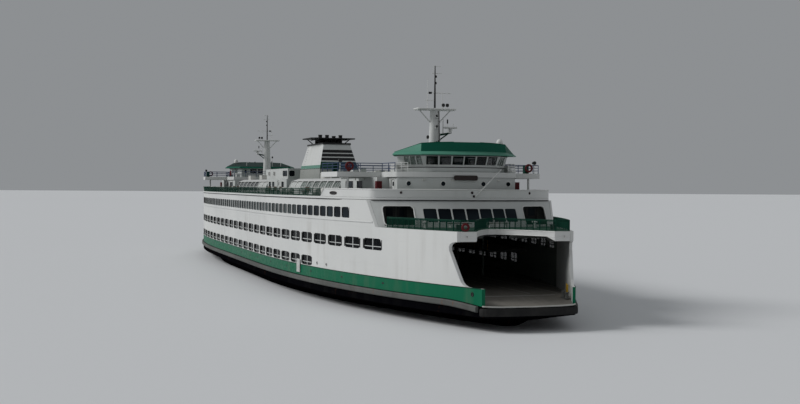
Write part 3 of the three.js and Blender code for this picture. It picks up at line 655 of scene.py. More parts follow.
def makeCarWindowBars():
    half, mullion, recess = carSide["half"] + 0.01, carSide["mullion"] / 2, carSide["recess"]
    for name, side in sides:
        bm = bmesh.new()
        for low, high, count in carSide["rows"]:
            bar = low + carSide["barHeight"]
            bars = [
                # half length, foot, head, outer and inner face, finish
                (mullion, low - 0.01, high + 0.01, recess, recess + 0.1, 0),
                (half, bar, bar + carSide["barThick"], recess, recess + 0.1, 0),
                (half, low - 0.01, high + 0.01, carSide["glassIn"], carSide["glassIn"] + 0.015, 1),
            ]
            for i in range(-count, count + 1):
                x = i * carSide["pitch"]
                for reach, foot, head, outer, inner, mat in bars:
                    addSideWall(bm, [x - reach, x, x + reach], beside(-outer), beside(-inner), foot,
                                head, mat)
                # The black gasket along each upright edge, wider than a real one: it also paints the shade
                # of the dark inside over the plate, so the openings look wider
                for edge in (1, -1):
                    lean = carSide["rake"] if edge * i == carSide["rakedRow"] else 0
                    reach = (half - 0.03 + lean / 2, half + carSide["gasket"] + lean / 4)
                    addSideWall(bm, [x + edge * away for away in reach], beside(0.006), beside(-0.05),
                                low + 0.1, high - 0.1, 2)
        finishPiece(f"side_window_bars_{name}", bm, "house loadGlass black", (1, side))


makeCarSides()
makeCarWindowBars()
print("car deck sides ready")

# Rub rails and end fenders
belt = {"low": 2.0, "high": 2.52, "width": 0.265, "end": 68.8, "round": 0.09}
fender = {"low": 1.4, "high": 2.05, "back": 0.023, "width": 0.23, "rib": 0.03, "steps": 60}
rim = {"in": 0.06, "radius": 0.075, "steps": 40, "share": 0.985}


def makeBelts():
    low, high, curve = belt["low"], belt["high"], belt["round"]
    for name, side in sides:
        sections = []
        for x in spread(-belt["end"], belt["end"], 0.8):
            drop = deckHeight(x) - level["carDeck"]
            inner, outer = halfBeam(x) + ship["gap"], halfBeam(x) + belt["width"]
            profile = [(inner, low), (outer - curve, low), (outer, low + curve),
                       (outer, high - curve), (outer - curve, high), (inner, high)]
            sections.append([(x, y, z + drop) for y, z in profile])
        bm = bmesh.new()
        addLoft(bm, sections)
        finishPiece(f"rub_rail_{name}", bm, "guard", (1, side), node=f"guard_{name}",
                    angle=30)


def endRound(share, away):
    # A point of the deck's round end, this far outside it. share goes from 0 to 1 across the ship
    angle = (share - 0.5) * math.pi
    x = ship["end"] + (ship["tip"] - ship["end"] + away) * math.cos(angle)
    return x, (ship["endHalf"] + away) * math.sin(angle)


def makeFenders():
    low, high, count = fender["low"], fender["high"], fender["steps"]
    for name, end in bothEnds:
        sections = []
        for i in range(count + 1):
            out = fender["width"] - (fender["rib"] if i % 3 == 1 else 0)
            back, soft, face = (endRound(i / count, away) for away in (fender["back"], out - 0.06, out))
            profile = ((back, low), (soft, low), (face, low + 0.1), (face, high - 0.1), (soft, high),
                       (back, high))
            sections.append([(*point, z) for point, z in profile])
        bm = bmesh.new()
        addLoft(bm, sections)
        finishPiece(f"end_fender_{name}", bm, "rubber", (end, 1), node=f"fender_{name}",
                    angle=50)
        # The worn steel rim of the deck's end
        path = [endRound(0.5 + (i / rim["steps"] - 0.5) * rim["share"], -rim["in"])
                for i in range(rim["steps"] + 1)]
        bm = bmesh.new()
        addTube(bm, [(x, y, deckHeight(x) + 0.02) for x, y in path], rim["radius"])
        finishPiece(f"deck_rim_{name}", bm, "lineWhite", (end, 1))


makeBelts()
makeFenders()

# Car deck: a coated sheet with its painted lines, the casing, mezzanines and the beams overhead
carDeck = {
    "thick": 0.02,
    "end": 69.1,
    "lanes": [2.9, 5.75, 8.6],
    "laneEnd": 63,
    "lineHalf": 0.06,
    "stopLine": 64.6,
    "casingY": 2.4,
    "casingEnd": 44,
    "pillarPitch": 7.72,
    "pillarY": 6.72,
    "beamPitch": 3.86,
    "beamDepth": 0.26,
    "lampPitch": 7.72,
    "doorPitch": 15.44,
}


def makeCarDeck():
    bm = bmesh.new()
    end, line = carDeck["end"], carDeck["lineHalf"]
    inner = beside(-carSide["wall"] - 0.01)
    top = lambda x: deckHeight(x) + carDeck["thick"]
    around = ((-1, deckHeight), (1, deckHeight), (1, top), (-1, top))

    def addPlate(outline):
        addLoft(bm, [[(x, side * y, z(x)) for side, z in around] for x, y in outline])

    tip = []
    for i in range(13):
        out = (ship["tip"] - end - 0.05) * math.sin(i / 12 * math.pi / 2)
        tip.append((end + out, max(0.3, 4.3 * math.cos(math.asin(min(1, out / 0.76))))))
    addPlate(tip)
    x = carDeck["stopLine"]
    addBox(bm, (x, x + 0.22), (-4.6, 4.6), (top(x), top(x) + 0.008), 1)
    addCopies(bm, [(-1, 1)])
    addPlate([(x, inner(x)) for x in spread(-end, end, 0.8)])
    for y in carDeck["lanes"]:
        for side in (1, -1):
            addSideWall(bm, spread(-carDeck["laneEnd"], carDeck["laneEnd"], 2.5),
                        lambda x: min(y + line, inner(x)), lambda x: min(y - line, inner(x) - 0.02),
                        top, lambda x: top(x) + 0.006, 1, side)
    finishPiece("car_deck_coating", bm, "deck lineWhite")


def makeCasing():
    # The casing and its fittings take the dark inside paint: painted shade
    dressedCopy("car_deck_casing", "casing", "inside", 0.05)
    bm = bmesh.new()
    y, end = carDeck["casingY"], carDeck["casingEnd"]
    for x in spread(-38, 38, carDeck["doorPitch"]):
        addBox(bm, (x - 0.5, x + 0.5), (y, y + 0.05), (2.75, 4.85))
        addBox(bm, (x - 0.42, x + 0.42), (y + 0.05, y + 0.07), (2.85, 4.75), 1)
        addTube(bm, [(x + 0.3, y + 0.12, 3.7), (x + 0.3, y + 0.12, 4.0)], 0.03, 2)
    for z, radius in ((7.2, 0.09), (6.95, 0.06), (6.75, 0.05)):
        addTube(bm, [(0.5 - end, y + 0.14, z), (end - 0.5, y + 0.14, z)], radius, 3)
    for x in spread(-42, 42, 6):
        addBox(bm, (x - 0.06, x + 0.06), (y, y + 0.24), (6.6, 7.34), 3)
    addBox(bm, (-end, end), (y, y + 0.08), (2.9, 3.15), 4)
    addCopies(bm, otherSide)
    finishPiece("casing_fittings", bm, "inside brown black guard yellow")


def makeMezzanines():
    y, end = carDeck["pillarY"], carDeck["casingEnd"] - 0.2
    for name, side in sides:
        # The mezzanine's tops take the deck coat, all else the dark ceiling paint as painted shade
        dressedCopy(f"mezzanine_deck_{name}", f"mezzanine_{name}", "deck ceiling", 0.04,
                    paint=lambda middle, normal: 0 if normal.z > 0.6 else 1)
        bm = bmesh.new()
        for x in spread(-42.5, 42.5, carDeck["pillarPitch"]):
            for low, high, radius in ((2.6, 5.25, 0.13), (5.5, 7.95, 0.11)):
                addTube(bm, [(x, y, low), (x, y, high)], radius, 0, 12)
            addTurned(bm, [(0.24, 0), (0.24, 0.05), (0.15, 0.07)], (x, y, 2.6), 0, 12)
        for z in (5.85, 6.15, 6.5):
            addTube(bm, [(-end, y, z), (end, y, z)], 0.03, 1, 6)
        for x in spread(-end, end, 1.93):
            addTube(bm, [(x, y, 5.5), (x, y, 6.5)], 0.035, 1, 6)
        # The pillars take the dark inside paint: painted shade
        finishPiece(f"mezzanine_pillars_{name}", bm, "inside yellow", (1, side))


def addDeckLamps(bm, y, z, places):
    for x in places:
        addBox(bm, (x - 0.6, x + 0.6), (y - 0.1, y + 0.1), (z, z + 0.1), 2)
        addBox(bm, (x - 0.62, x + 0.62), (y - 0.13, y + 0.13), (z + 0.1, z + 0.14), 1)


def makeCarDeckOverhead():
    bm = bmesh.new()
    high, pitch, casingEnd = level["passengerBeam"], carDeck["lampPitch"], carDeck["casingEnd"]
    low = high - carDeck["beamDepth"]
    for x in spread(-61.8, 61.8, carDeck["beamPitch"]):
        start = carDeck["casingY"] + 0.05 if abs(x) < casingEnd else notchHalf(x) + 0.15
        span = (start, halfBeam(x) - carSide["wall"] - 0.02)
        addBox(bm, (x - 0.04, x + 0.04), span, (low, high))
        addBox(bm, (x - 0.12, x + 0.12), span, (low - 0.03, low))
    for y, reach in ((5.4, 62.8), (1.5, 60.4)):
        for end in (1, -1):
            addBox(bm, (end * (casingEnd + 0.4), end * reach), (y - 0.03, y + 0.03), (low + 0.06, high))
    addDeckLamps(bm, 4.4, 7.6, spread(-61, 61, pitch))
    addDeckLamps(bm, 9.3, 5.12, spread(-42, 42, pitch))
    addCopies(bm, otherSide)
    addDeckLamps(bm, 0, 7.6, [x for x in spread(-57, 57, pitch) if abs(x) > 46])
    # The beams take the dark ceiling paint and the lamps' housings the inside paint: painted shade
    finishPiece("overhead_beams", bm, "ceiling inside lamp")


makeCarDeck()
makeCasing()
makeMezzanines()
makeCarDeckOverhead()
print("car deck ready")

# Passenger deck and the white beams over the mouths
deckPaints = "white walkway ceiling"


def deckPaint(middle, normal):
    # Tops take the walkway coat, undersides the dark ceiling paint as painted shade, the rest white
    return 1 if normal.z > 0.7 else 2 if normal.z < -0.7 else 0


def makePassengerDeck():
    dressedCopy("passenger_deck_plate", "passenger_deck", deckPaints, 0.03,
                paint=deckPaint)
    x, beads = mouth["x"], ((8.42, 0.045), (7.99, 0.035))
    disc = [(4.68 + 0.14 * a, 8.0 + 0.1 * b) for a, b in circle(12)]
    for name, end in bothEnds:
        dressedCopy(f"mouth_beam_{name}", f"deck_end_{name}", deckPaints, 0.05,
                    paint=deckPaint)
        bm = bmesh.new()
        addTube(bm, onPlane(disc, "x", x + 0.02), 0.035, 0, 6, closed=True)
        addExtrude(bm, disc, "x", x + 0.004, x + 0.012, 1)
        for z, radius in beads:
            addTube(bm, [(x, 3.8, z), (x, 5.28, z)], radius)
        addCopies(bm, otherSide)
        for z, radius in beads:
            addTube(bm, [(notchX(y), y, z) for y in spread(-notch["inner"], notch["inner"], 0.3)],
                    radius)
        finishPiece(f"mouth_beam_fittings_{name}", bm, "trim black", (end, end))


makePassengerDeck()

# Passenger cabin: curved walls with their row of windows, raked ends, and the lobbies' doors
cabin = {
    "wall": 0.25,
    "foot": 56.86,
    "head": 55.37,
    "low": 9.2,
    "high": 10.28,
    "first": 48.66,
    "half": 0.68,
    "lean": 0.24,
    "corner": 0.16,
    "glassIn": 0.07,
    "count": 55,
    "grazingSheenTo": 36,
    "gasket": 0.05,
}
lobby = {"y": (5.72, 8.6), "z": (8.62, 10.5), "doors": [(5.8, 6.8), (7.0, 8.2)]}
cabinFront = {"pitch": 1.41, "half": 0.64, "low": 8.97, "high": 10.24, "panes": 7, "innerWall": 52.9}
mouldings = [
    # half length, distance from the skin, height, radius, finish
    (54.1, 0.01, level["ledge"], 0.09, 0),
    (69.1, 0.005, level["bulwark"], 0.035, 1),
]


def cabinFace(z, y):
    slope = (cabin["head"] - cabin["foot"]) / (level["sunBeam"] - level["passengerDeck"])
    return cabin["foot"] + slope * (z - level["passengerDeck"]) - ship["deckBow"] * y * y


def cabinWindows():
    # The middle of each side window, and how far the foot of its left and right edge leans out
    last = cabin["count"] - 1
    for i in range(last + 1):
        yield cabin["first"] * (1 - 2 * i / last), cabin["lean"] * (i == last), cabin["lean"] * (i == 0)


def makeCabinSides():
    low, high = level["passengerDeck"] + ship["gap"], level["sunBeam"] - ship["gap"]
    sill, head, half, glassIn = cabin["low"], cabin["high"], cabin["half"], cabin["glassIn"]
    for name, side in sides:
        bm = bmesh.new()
        addSideWall(bm, spread(-57.5, 57.5, 0.75), halfBeam, beside(-cabin["wall"]), low, high)
        skin = makeObject(f"cabin_side_{name}", bm, "white inside", (1, side))
        bm = bmesh.new()
        foot, top = low - 1, high + 1
        addLoft(bm, [
            [(cabinFace(foot, y), y, foot), (cabinFace(top, y), y, top), (60, y, top), (60, y, foot)]
            for y in spread(8, 10.6, 0.4)
        ])
        addCopies(bm, [(-1, 1)])
        for x, left, right in cabinWindows():
            corners = [(x - half - left, sill), (x + half + right, sill), (x + half, head),
                       (x - half, head)]
            addExtrude(bm, rounded(corners, cabin["corner"]), "y", *carSide["cut"])
        cutAway(skin, bm, (1, side))
        # Inner faces take the dark inside paint: painted shade
        for polygon in skin.data.polygons:
            polygon.material_index = 1 if polygon.normal.y * side < -0.5 else 0
        curvedShading(skin, side)
        settle(skin, node=f"cabin_{name}")
        bm = bmesh.new()
        reach = half + 0.05
        for x, left, right in cabinWindows():
            # Amidships the panes take a paler glass, a painted reflection of the sky at grazing angles
            addSideWall(bm, [x - reach - left, x + reach + right], beside(-glassIn), beside(-glassIn - 0.04),
                        sill - 0.05, head + 0.05, 1 if abs(x) < cabin["grazingSheenTo"] else 0)
            for edge, lean in ((1, right), (-1, left)):
                strip = [x + edge * (reach + away + lean / 2) for away in (-0.07, cabin["gasket"])]
                addSideWall(bm, strip, beside(0.006), beside(-0.05), sill + 0.05, head - 0.05, 2)
        finishPiece(f"cabin_glass_{name}", bm, "glass blinds black", (1, side))
        bm = bmesh.new()
        for end, away, z, radius, mat in mouldings:
            addTube(bm, [(x, halfBeam(x) + away, z) for x in spread(-end, end, 1.0)], radius, mat, 6)
        finishPiece(f"side_mouldings_{name}", bm, "white green", (1, side))


def makeCabinEnds():
    low, high, half, count = (cabinFront[key] for key in ("low", "high", "half", "panes"))
    middles = [(i - count // 2) * cabinFront["pitch"] for i in range(count)]
    wall = cabinFront["innerWall"]
    back = wall + 0.15
    for name, end in bothEnds:
        cutter = bmesh.new()
        for y in middles:
            addExtrude(cutter, roundedBox((y - half, y + half), (low, high), 0.14), "x", 50, 59)
        dressedCopy(f"cabin_front_{name}", f"cabin_end_{name}", "house", 0.03,
                    cutter=cutter, flip=(end, end))
        # A frame round each side opening, with the doors of the lobby set back in it
        bm = bmesh.new()
        outline = roundedBox(lobby["y"], lobby["z"], 0.4)
        addTube(bm, [(cabinFace(z, y) + 0.01, y, z) for y, z in outline], 0.055, 1, 6, closed=True)
        for inner, outer in lobby["doors"]:
            addBox(bm, (back, back + 0.1), (inner, outer), (8.5, 10.6), 2)
            addBox(bm, (back + 0.1, back + 0.13), (inner + 0.25, outer - 0.25), (9.5, 10.25))
        addCopies(bm, otherSide)
        for y in middles:
            pane = box2d((y - half - 0.04, y + half + 0.04), (low - 0.04, high + 0.04))
            addLoft(bm, [[(cabinFace(z, a) - depth, a, z) for a, z in pane] for depth in (0.07, 0.11)])
        # A dark wall behind the end windows, in the ceiling paint: painted shade of the cabin's inside
        addBox(bm, (wall, back), (-9.3, 9.3), (8.5, 11.0), 4)
        finishPiece(f"cabin_front_fittings_{name}", bm, "glass trim black house ceiling", (end, end))


makeCabinSides()
makeCabinEnds()
print("passenger cabin ready")

# Sun deck, its bulwarks and what is let into them
sun = {"end": 55.5, "start": 42.7, "rake": 1.1, "inset": 0.4, "insetFrom": 44, "insetTo": 53.8,
       "wall": 0.15}
bulwarkFittings = [
    # y and z of the small fittings on the end's face, and their radius
    (-6.8, 11.78, 0.09),
    (6.8, 11.78, 0.09),
    (0.13, 11.8, 0.1),
    (0.32, 11.45, 0.09),
]
fairlead = {"x": 46.0, "z": 11.66, "long": 0.8, "high": 0.14}


def sunHalf(x):
    beyond = max(0.0, abs(x) - sun["insetFrom"]) / (sun["insetTo"] - sun["insetFrom"])
    return halfBeam(x) + 0.06 - sun["inset"] * beyond**2


def sunFront(y):
    return sun["end"] - ship["deckBow"] * y * y


def sunCorner():
    y = 9.5
    for _ in range(12):
        y = sunHalf(sunFront(y))
    return sunFront(y), y


def sunRing(inset, z):
    # The deck's whole edge, drawn from the side amidships round to the middle of the end first
    x, y = sunCorner()
    quarter = [(a, sunHalf(a) - inset) for a in spread(0, x - 0.3, 0.9)]
    quarter += [(sunFront(b) - inset, b) for b in spread(y - 0.2, 0, 0.7)]
    half = quarter + [(a, -b) for a, b in reversed(quarter[:-1])]
    return [(sign * a, sign * b, z) for sign in (1, -1) for a, b in half]


def makeSunDeck():
    bm = bmesh.new()
    low, high = level["sunBeam"], level["sunDeck"]
    edge = ((low, 0.05), (low + 0.05, 0.0), (high - 0.05, 0.0), (high, 0.05))
    addLoft(bm, [sunRing(inset, z) for z, inset in edge])
    for face in bm.faces:
        face.material_index = 0 if len(face.verts) == 4 else 1 if face.verts[0].co.z > high - 0.01 else 2
    bmesh.ops.remove_doubles(bm, verts=bm.verts, dist=1e-4)
    finishPiece("sun_deck_plate", bm, deckPaints, node="sun_deck", angle=30)
    # A black strip under the deck's edge: painted shadow cast by the edge
    bm = bmesh.new()
    addTube(bm, sunRing(0.04, low - 0.02), 0.05, 0, 6, closed=True)
    finishPiece("sun_deck_shadow_line", bm, "black")


def addStay(bm, x, y, inX, inY, low, high):
    # A triangular bracket inside a bulwark, with its foot towards the deck's middle
    outline = [(0, high), (0.05, high), (0.5, low), (0, low)]
    addLoft(bm, [[(x + inX * a + inY * thick, y + inY * a - inX * thick, z) for a, z in outline]
                 for thick in (0, 0.05)])


def bulwarkPath():
    x, y = sunCorner()
    half = [(a, sunHalf(a)) for a in spread(sun["start"], x - 0.5, 0.8)]
    half += bend((x - 0.45, sunHalf(x - 0.45)), (x, y), (sunFront(y - 0.45), y - 0.45), 5)
    return bothSidesOf(half + [(sunFront(b), b) for b in spread(y - 0.9, 0.4, 0.7)])


def addFairlead(bm):
    # The closed fairlead's oval, laid on the curved plate
    middle, plates = fairlead["z"], []
    oval = [(fairlead["x"] + fairlead["long"] * a, fairlead["high"] * b) for a, b in circle(16)]
    for x, rise in oval[1:8]:
        around = ((0.012, -1), (0.012, 1), (-0.02, 1), (-0.02, -1))
        plates.append([(x, sunHalf(x) + out, middle + up * rise) for out, up in around])
    addLoft(bm, plates, 2)
    addTube(bm, [(x, sunHalf(x) + 0.02, middle + rise) for x, rise in oval], 0.045, 1, 6, closed=True)


def makeBulwarks():
    low, high, wall = level["sunDeck"] + ship["gap"], level["sunBulwark"], sun["wall"]
    start, path, sections = sun["start"] + sun["rake"], bulwarkPath(), []
    for i, (x, y) in enumerate(path):
        along = (Vector(path[min(len(path) - 1, i + 1)]) - Vector(path[max(0, i - 1)])).normalized()
        inX, inY = along.y * -wall, along.x * wall
        if inX * x + inY * y > 0:
            inX, inY = -inX, -inY
        top = max(x, start)
        sections.append([(x, y, low), (x + inX, y + inY, low), (max(top, x + inX), y + inY, high),
                         (top, y, high)])
    for name, end in bothEnds:
        bm = bmesh.new()
        addLoft(bm, sections)
        finishPiece(f"sun_bulwark_{name}", bm, "white", (end, end),
                    node=f"bulwark_{name}", angle=35)
        bm = bmesh.new()
        addFairlead(bm)
        addCopies(bm, otherSide)
        addTube(bm, [(x, y, high - 0.02) for x, y in path if x > start + 0.05], 0.06)
        for x in spread(45.2, 52.8, 1.5):
            for side in (1, -1):
                addStay(bm, x, side * (sunHalf(x) - wall), 0, -side, low, high)
        for y in spread(-8.4, 8.4, 1.87):
            addStay(bm, sunFront(y) - wall, y, -1, 0, low, high)
        for y, z, radius in bulwarkFittings:
            x = sunFront(y) + 0.01
            addTube(bm, [(x, y + radius * a, z + radius * b) for a, b in circle(16)], 0.04, 1, 6,
                    closed=True)
            addTube(bm, [(x - 0.01, y, z), (x + 0.12, y, z + 0.03)], [0.09, 0.06], 1, 10)
        # The staff that lies folded down over the bulwark
        addTube(bm, [(55.66, 0.4, 11.4), (55.3, 3.29, 14.11)], [0.05, 0.04], 0, 10)
        finishPiece(f"bulwark_fittings_{name}", bm, "trim brown black", (end, end))


makeSunDeck()
makeBulwarks()
print("sun deck ready")

# Hull: a fine loft through the waterlines, with the stern tubes and the rudder trunks
hullLines = [
    # z, half beam, flat half length, end of the side, half width there, tip, power
    (level["carDeck"], 13.45, 12, 69.2, 4.41, 69.9, 2.78),
    (1.3, 13.45, 12, 69.2, 4.41, 69.9, 2.78),
    (0.55, 11.9, 14, 65.6, 1.6, 66.6, 2.3),
    (0, 11.6, 14, 64.8, 0.9, 65.5, 2.1),
    (-1, 11.2, 13, 62.3, 0.45, 62.8, 1.9),
    (-1.7, 10.9, 12, 56, 0.35, 56.4, 1.8),
    (-3.6, 9.8, 10, 53, 0.3, 53.3, 1.6),
    (-5.26, 7.2, 8, 50, 0.25, 50.2, 1.5),
]
roundAngles = [15, 30, 45, 58, 70, 80]
shaft = {"z": -3.55, "tubeFrom": 49, "tubeTo": 56.3, "tubeRadius": 0.42, "trunkX": 60.4,
         "trunkRadius": 0.5}
screw = {
    "middle": 57.45,
    "blades": 4,
    "root": 0.38,
    "tip": 1.6,
    "hub": [(56.6, 0.4), (56.75, 0.45), (57.9, 0.45), (58.15, 0.36), (58.28, 0.2), (58.3, 0.05)],
}
rudderChord = [(59.4, 0.03), (59.55, 0.13), (59.9, 0.19), (60.4, 0.21), (61, 0.17), (61.7, 0.1),
               (62.4, 0.035)]


def hullRing(x, angle=None):
    half = []
    for i, (z, beam, flat, end, endHalf, tip, power) in enumerate(hullLines):
        if angle is None:
            px = x * end / ship["end"]
            beyond = max(0.0, abs(px) - flat) / (end - flat)
            py = beam - (beam - endHalf) * beyond**power
        else:
            px = math.copysign(end + (tip - end) * math.sin(math.radians(angle)), x)
            py = endHalf * math.cos(math.radians(angle))
        half.append((px, py, z if i else deckHeight(px)))
    return bothSidesOf(half)


def makeHull():
    bm = bmesh.new()
    # Zinc anodes along the skegs
    for x in spread(44, 52, 2):
        addBlock(bm, (x, 0.5 + (53 - x) * 0.16, -3.2), (0.5, 0.16, 0.16), 1)
    addCopies(bm, otherSide)
    z, x, radius, tubeEnd = shaft["z"], shaft["trunkX"], shaft["tubeRadius"], shaft["tubeTo"]
    tube = [(a, 0, z) for a in (shaft["tubeFrom"], tubeEnd - 0.3, tubeEnd)]
    addTube(bm, tube, [radius, radius, radius - 0.08], 0, 20)
    addTube(bm, [(x, 0, -1.55), (x, 0, 0.2)], shaft["trunkRadius"], 0, 20)
    addCopies(bm, [(-1, 1)])
    rings = [hullRing(-1, angle) for angle in reversed(roundAngles)]
    rings += [hullRing(x) for x in spread(-ship["end"], ship["end"], 1.4)]
    addLoft(bm, rings + [hullRing(1, angle) for angle in roundAngles])
    finishPiece("ship_hull", bm, "hull steel", node="hull", angle=25)


def bladeRing(reach):
    # The blade's section this far out, twisted and thinned towards its tip
    share = min(1.0, (reach - 0.3) / 1.32)
    half = 0.62 * math.sqrt(max(0.02, 1 - (2 * share - 1.05) ** 2))
    twist = math.atan2(0.62, reach) * 1.1
    thick = 0.09 * (1 - share) + 0.02
    across, along = math.cos(twist), math.sin(twist)
    for a, b in circle(12):
        chord, depth = half * a, thick * b
        yield screw["middle"] + chord * along + depth * across, chord * across - depth * along, reach


def makePropeller(name, end):
    bm = bmesh.new()
    addTube(bm, [(56.303, 0, 0), (56.7, 0, 0)], 0.24, 0, 20)
    addTube(bm, [(x, 0, 0) for x, _ in screw["hub"]], [radius for _, radius in screw["hub"]], 0, 24)
    for blade in range(screw["blades"]):
        turn = Matrix.Rotation(blade * 2 * math.pi / screw["blades"], 4, "X")
        rings = [bladeRing(reach) for reach in spread(screw["root"], screw["tip"], 0.12)]
        addLoft(bm, [[turn @ Vector(point) for point in ring] for ring in rings])
    bmesh.ops.translate(bm, vec=(0, 0, shaft["z"]), verts=bm.verts)
    body = f"propeller_{name}"
    finishPiece(f"screw_{name}", bm, "bronze", (end, 1), body, body)


def makeRudder(name, end):
    bm = bmesh.new()
    levels = ((-5.1, 0.9), (-5.02, 1), (-1.93, 1), (-1.85, 0.9))
    addLoft(bm, [bothSidesOf([(x, y * share, z) for x, y in rudderChord]) for z, share in levels])
    addTube(bm, [(shaft["trunkX"], 0, -1.95), (shaft["trunkX"], 0, -1.555)], 0.28, 0, 20)
    body = f"rudder_{name}"
    finishPiece(f"rudder_blade_{name}", bm, "hull", (end, 1), body, body)


makeHull()
for endName, endSign in bothEnds:
    makePropeller(endName, endSign)
    makeRudder(endName, endSign)
print("hull, propellers and rudders ready")

# Small fittings that come back in several places
opening = {"depth": 0.1, "pane": 0.096, "trim": 0.035}


def addOpening(cutter, bm, hand, wall, place, out, low, high, sill, head, kind):
    # A window, door or louvre let into a wall. wall is the axis it faces, out its sign, and hand
    # the side of a door's handle. bm's materials: glass, trim, door, dark
    middle, half, back = (low + high) / 2, (high - low) / 2, -opening["pane"]

    def panel(bm, outline, inner, outer, mat=0):
        addExtrude(bm, outline, wall, place + out * inner, place + out * outer, mat)

    def bar(line, depth, radius, mat=1, count=6, closed=False):
        addTube(bm, onPlane(line, wall, place + out * depth), radius, mat, count, closed)

    if kind == "port":
        outline = [(middle + half * a, (sill + head) / 2 + half * b) for a, b in circle(16)]
    else:
        outline = roundedBox((low, high), (sill, head), 0.3 if kind == "arch" else 0.1)
    panel(cutter, outline, -opening["depth"], 0.5)
    panel(bm, outline, back, back + 0.02, {"door": 2, "louvre": 3}.get(kind, 0))
    bar(outline, 0.005, opening["trim"], closed=True)
    if kind == "door":
        pane = (middle - half * 0.4, middle + half * 0.4), (sill + (head - sill) * 0.6, head - 0.25)
        panel(bm, roundedBox(*pane, 0.08), back + 0.02, back + 0.035)
        grip, hinge = middle + hand * half * 0.7, middle - hand * half * 0.88
        bar([(grip, sill + 0.95), (grip, sill + 1.1), (middle + hand * half * 0.4, sill + 1.1)],
            back + 0.07, 0.022, 3)
        for z in (sill + 0.3, sill + 1.5):
            bar([(hinge, z), (hinge, z + 0.16)], back + 0.04, 0.03)
    if kind == "louvre":
        for z in spread(sill + 0.1, head - 0.1, 0.14):
            bar([(low + 0.03, z), (high - 0.03, z)], back + 0.05, 0.03, count=4)


def onBothSides(walls):
    # Openings that come back in the wall across the ship
    return [(wall, side * place, side, *rest) for side in (1, -1) for wall, place, *rest in walls]


def fitHouse(name, node, openings, end, paints, paint=None):
    # Dresses a solid house with recessed windows and doors
    cutter, bm = bmesh.new(), bmesh.new()
    for row in openings:
        addOpening(cutter, bm, end, *row)
    dressedCopy(name, node, paints, 0.03, paint=paint, cutter=cutter,
                flip=(end, end))
    finishPiece(f"{name}_openings", bm, "glass trim white black", (end, end))


def addLifeRing(bm, centre, facing, radius):
    # A life ring with its four bands. facing is the axis through its hole
    def arc(start, reach, count):
        angles = [start + reach * k / count for k in range(count)]
        line = onPlane([(radius * math.cos(a), radius * math.sin(a)) for a in angles], facing, 0)
        return [Vector(centre) + Vector(point) for point in line]

    addTube(bm, arc(0, 2 * math.pi, 24), 0.11, 0, 10, closed=True)
    for k in range(4):
        addTube(bm, arc((k + 0.5) * math.pi / 2 - 0.16, 0.4, 5), 0.115, 0, 10)


def addRailing(bm, path, base, top, bars, pitch, mat=0, picket=None, radius=0.04, wire=0.016):
    # Posts, round bars at the given heights and, where asked, upright wires between them
    for height in bars:
        addTube(bm, [(*point, base + height) for point in path], radius * 0.7, mat, 6)
    addTube(bm, [(*point, base + top) for point in path], radius, mat)
    uprights = [(pitch, 0, radius, 8)] + [(picket, bars[0], wire, 4)] * bool(picket)
    for away, foot, thick, count in uprights:
        for x, y in alongPath(path, away):
            addTube(bm, [(x, y, base + foot), (x, y, base + top)], thick, mat, count)


# Houses on the sun deck
windowZ = (12.12, 12.95, "window")
doorZ = (11.42, 13.1, "door")
bridgeHouse = {
    "front": 53.72,
    "portY": [2.14, 5.35],
    "portZ": 12.67,
    "portRadius": 0.26,
    "board": {"y": (-1.16, 1.34), "z": (13.04, 13.48), "x": 53.9},
    "locker": (49.35, 7.55),
    "sideLamps": [38, 41, 44.5],
    "frontLamps": [1.2, 4.0],
}
bridgeWalls = onBothSides([
    # wall, place, low, high, sill, head, kind
    ("y", 7.6, 37.1, 40.2, *windowZ),
    ("y", 7.6, 41.6, 43.8, *windowZ),
    ("y", 6.36, 49.7, 50.9, *doorZ),
]) + [
    # wall, place, out, low, high, sill, head, kind
    ("y", 7.6, 1, 45.2, 46.2, *doorZ),
    ("x", 35, -1, 5, 6, *doorZ),
]
midshipWalls = onBothSides([
    ("y", 7.6, -5.6, -4.0, *windowZ),
    ("y", 7.6, -3.2, -1.6, *windowZ),
    ("y", 7.6, 0.6, 1.7, *doorZ),
    ("y", 7.6, 3.2, 4.8, *windowZ),
    ("x", 6.5, 5.3, 6.3, *doorZ),
    ("x", 6.5, -6.3, -5.3, *doorZ),
])
generatorWalls = onBothSides([
    ("y", 4, -12.7, -9.35, 13.75, 14.7, "arch"),
    ("y", 4, -19.8, -18.2, 13.9, 14.6, "louvre"),
    ("y", 4, -23.8, -22.2, 13.9, 14.6, "louvre"),
]) + [
    ("x", -9, 1, -3.85, -2.9, 13.75, 14.7, "arch"),
    ("x", -9, 1, 2.9, 3.85, 13.75, 14.7, "arch"),
    ("x", -9, 1, -0.5, 0.5, 13.38, 14.75, "door"),
    ("x", -26, -1, -0.5, 0.5, 13.38, 14.75, "door"),
]
spineWalls = onBothSides([
    ("y", 4.2, x - 0.5, x + 0.5, 11.42, 12.95, "door") if i == 3
    else ("y", 4.2, x - 1.1, x + 1.1, 12.0, 12.95, "window")
    for i, x in enumerate(spread(9.6, 32.4, 3.25))
])


def bridgeFront(y):
    return bridgeHouse["front"] - ship["houseBow"] * y * y


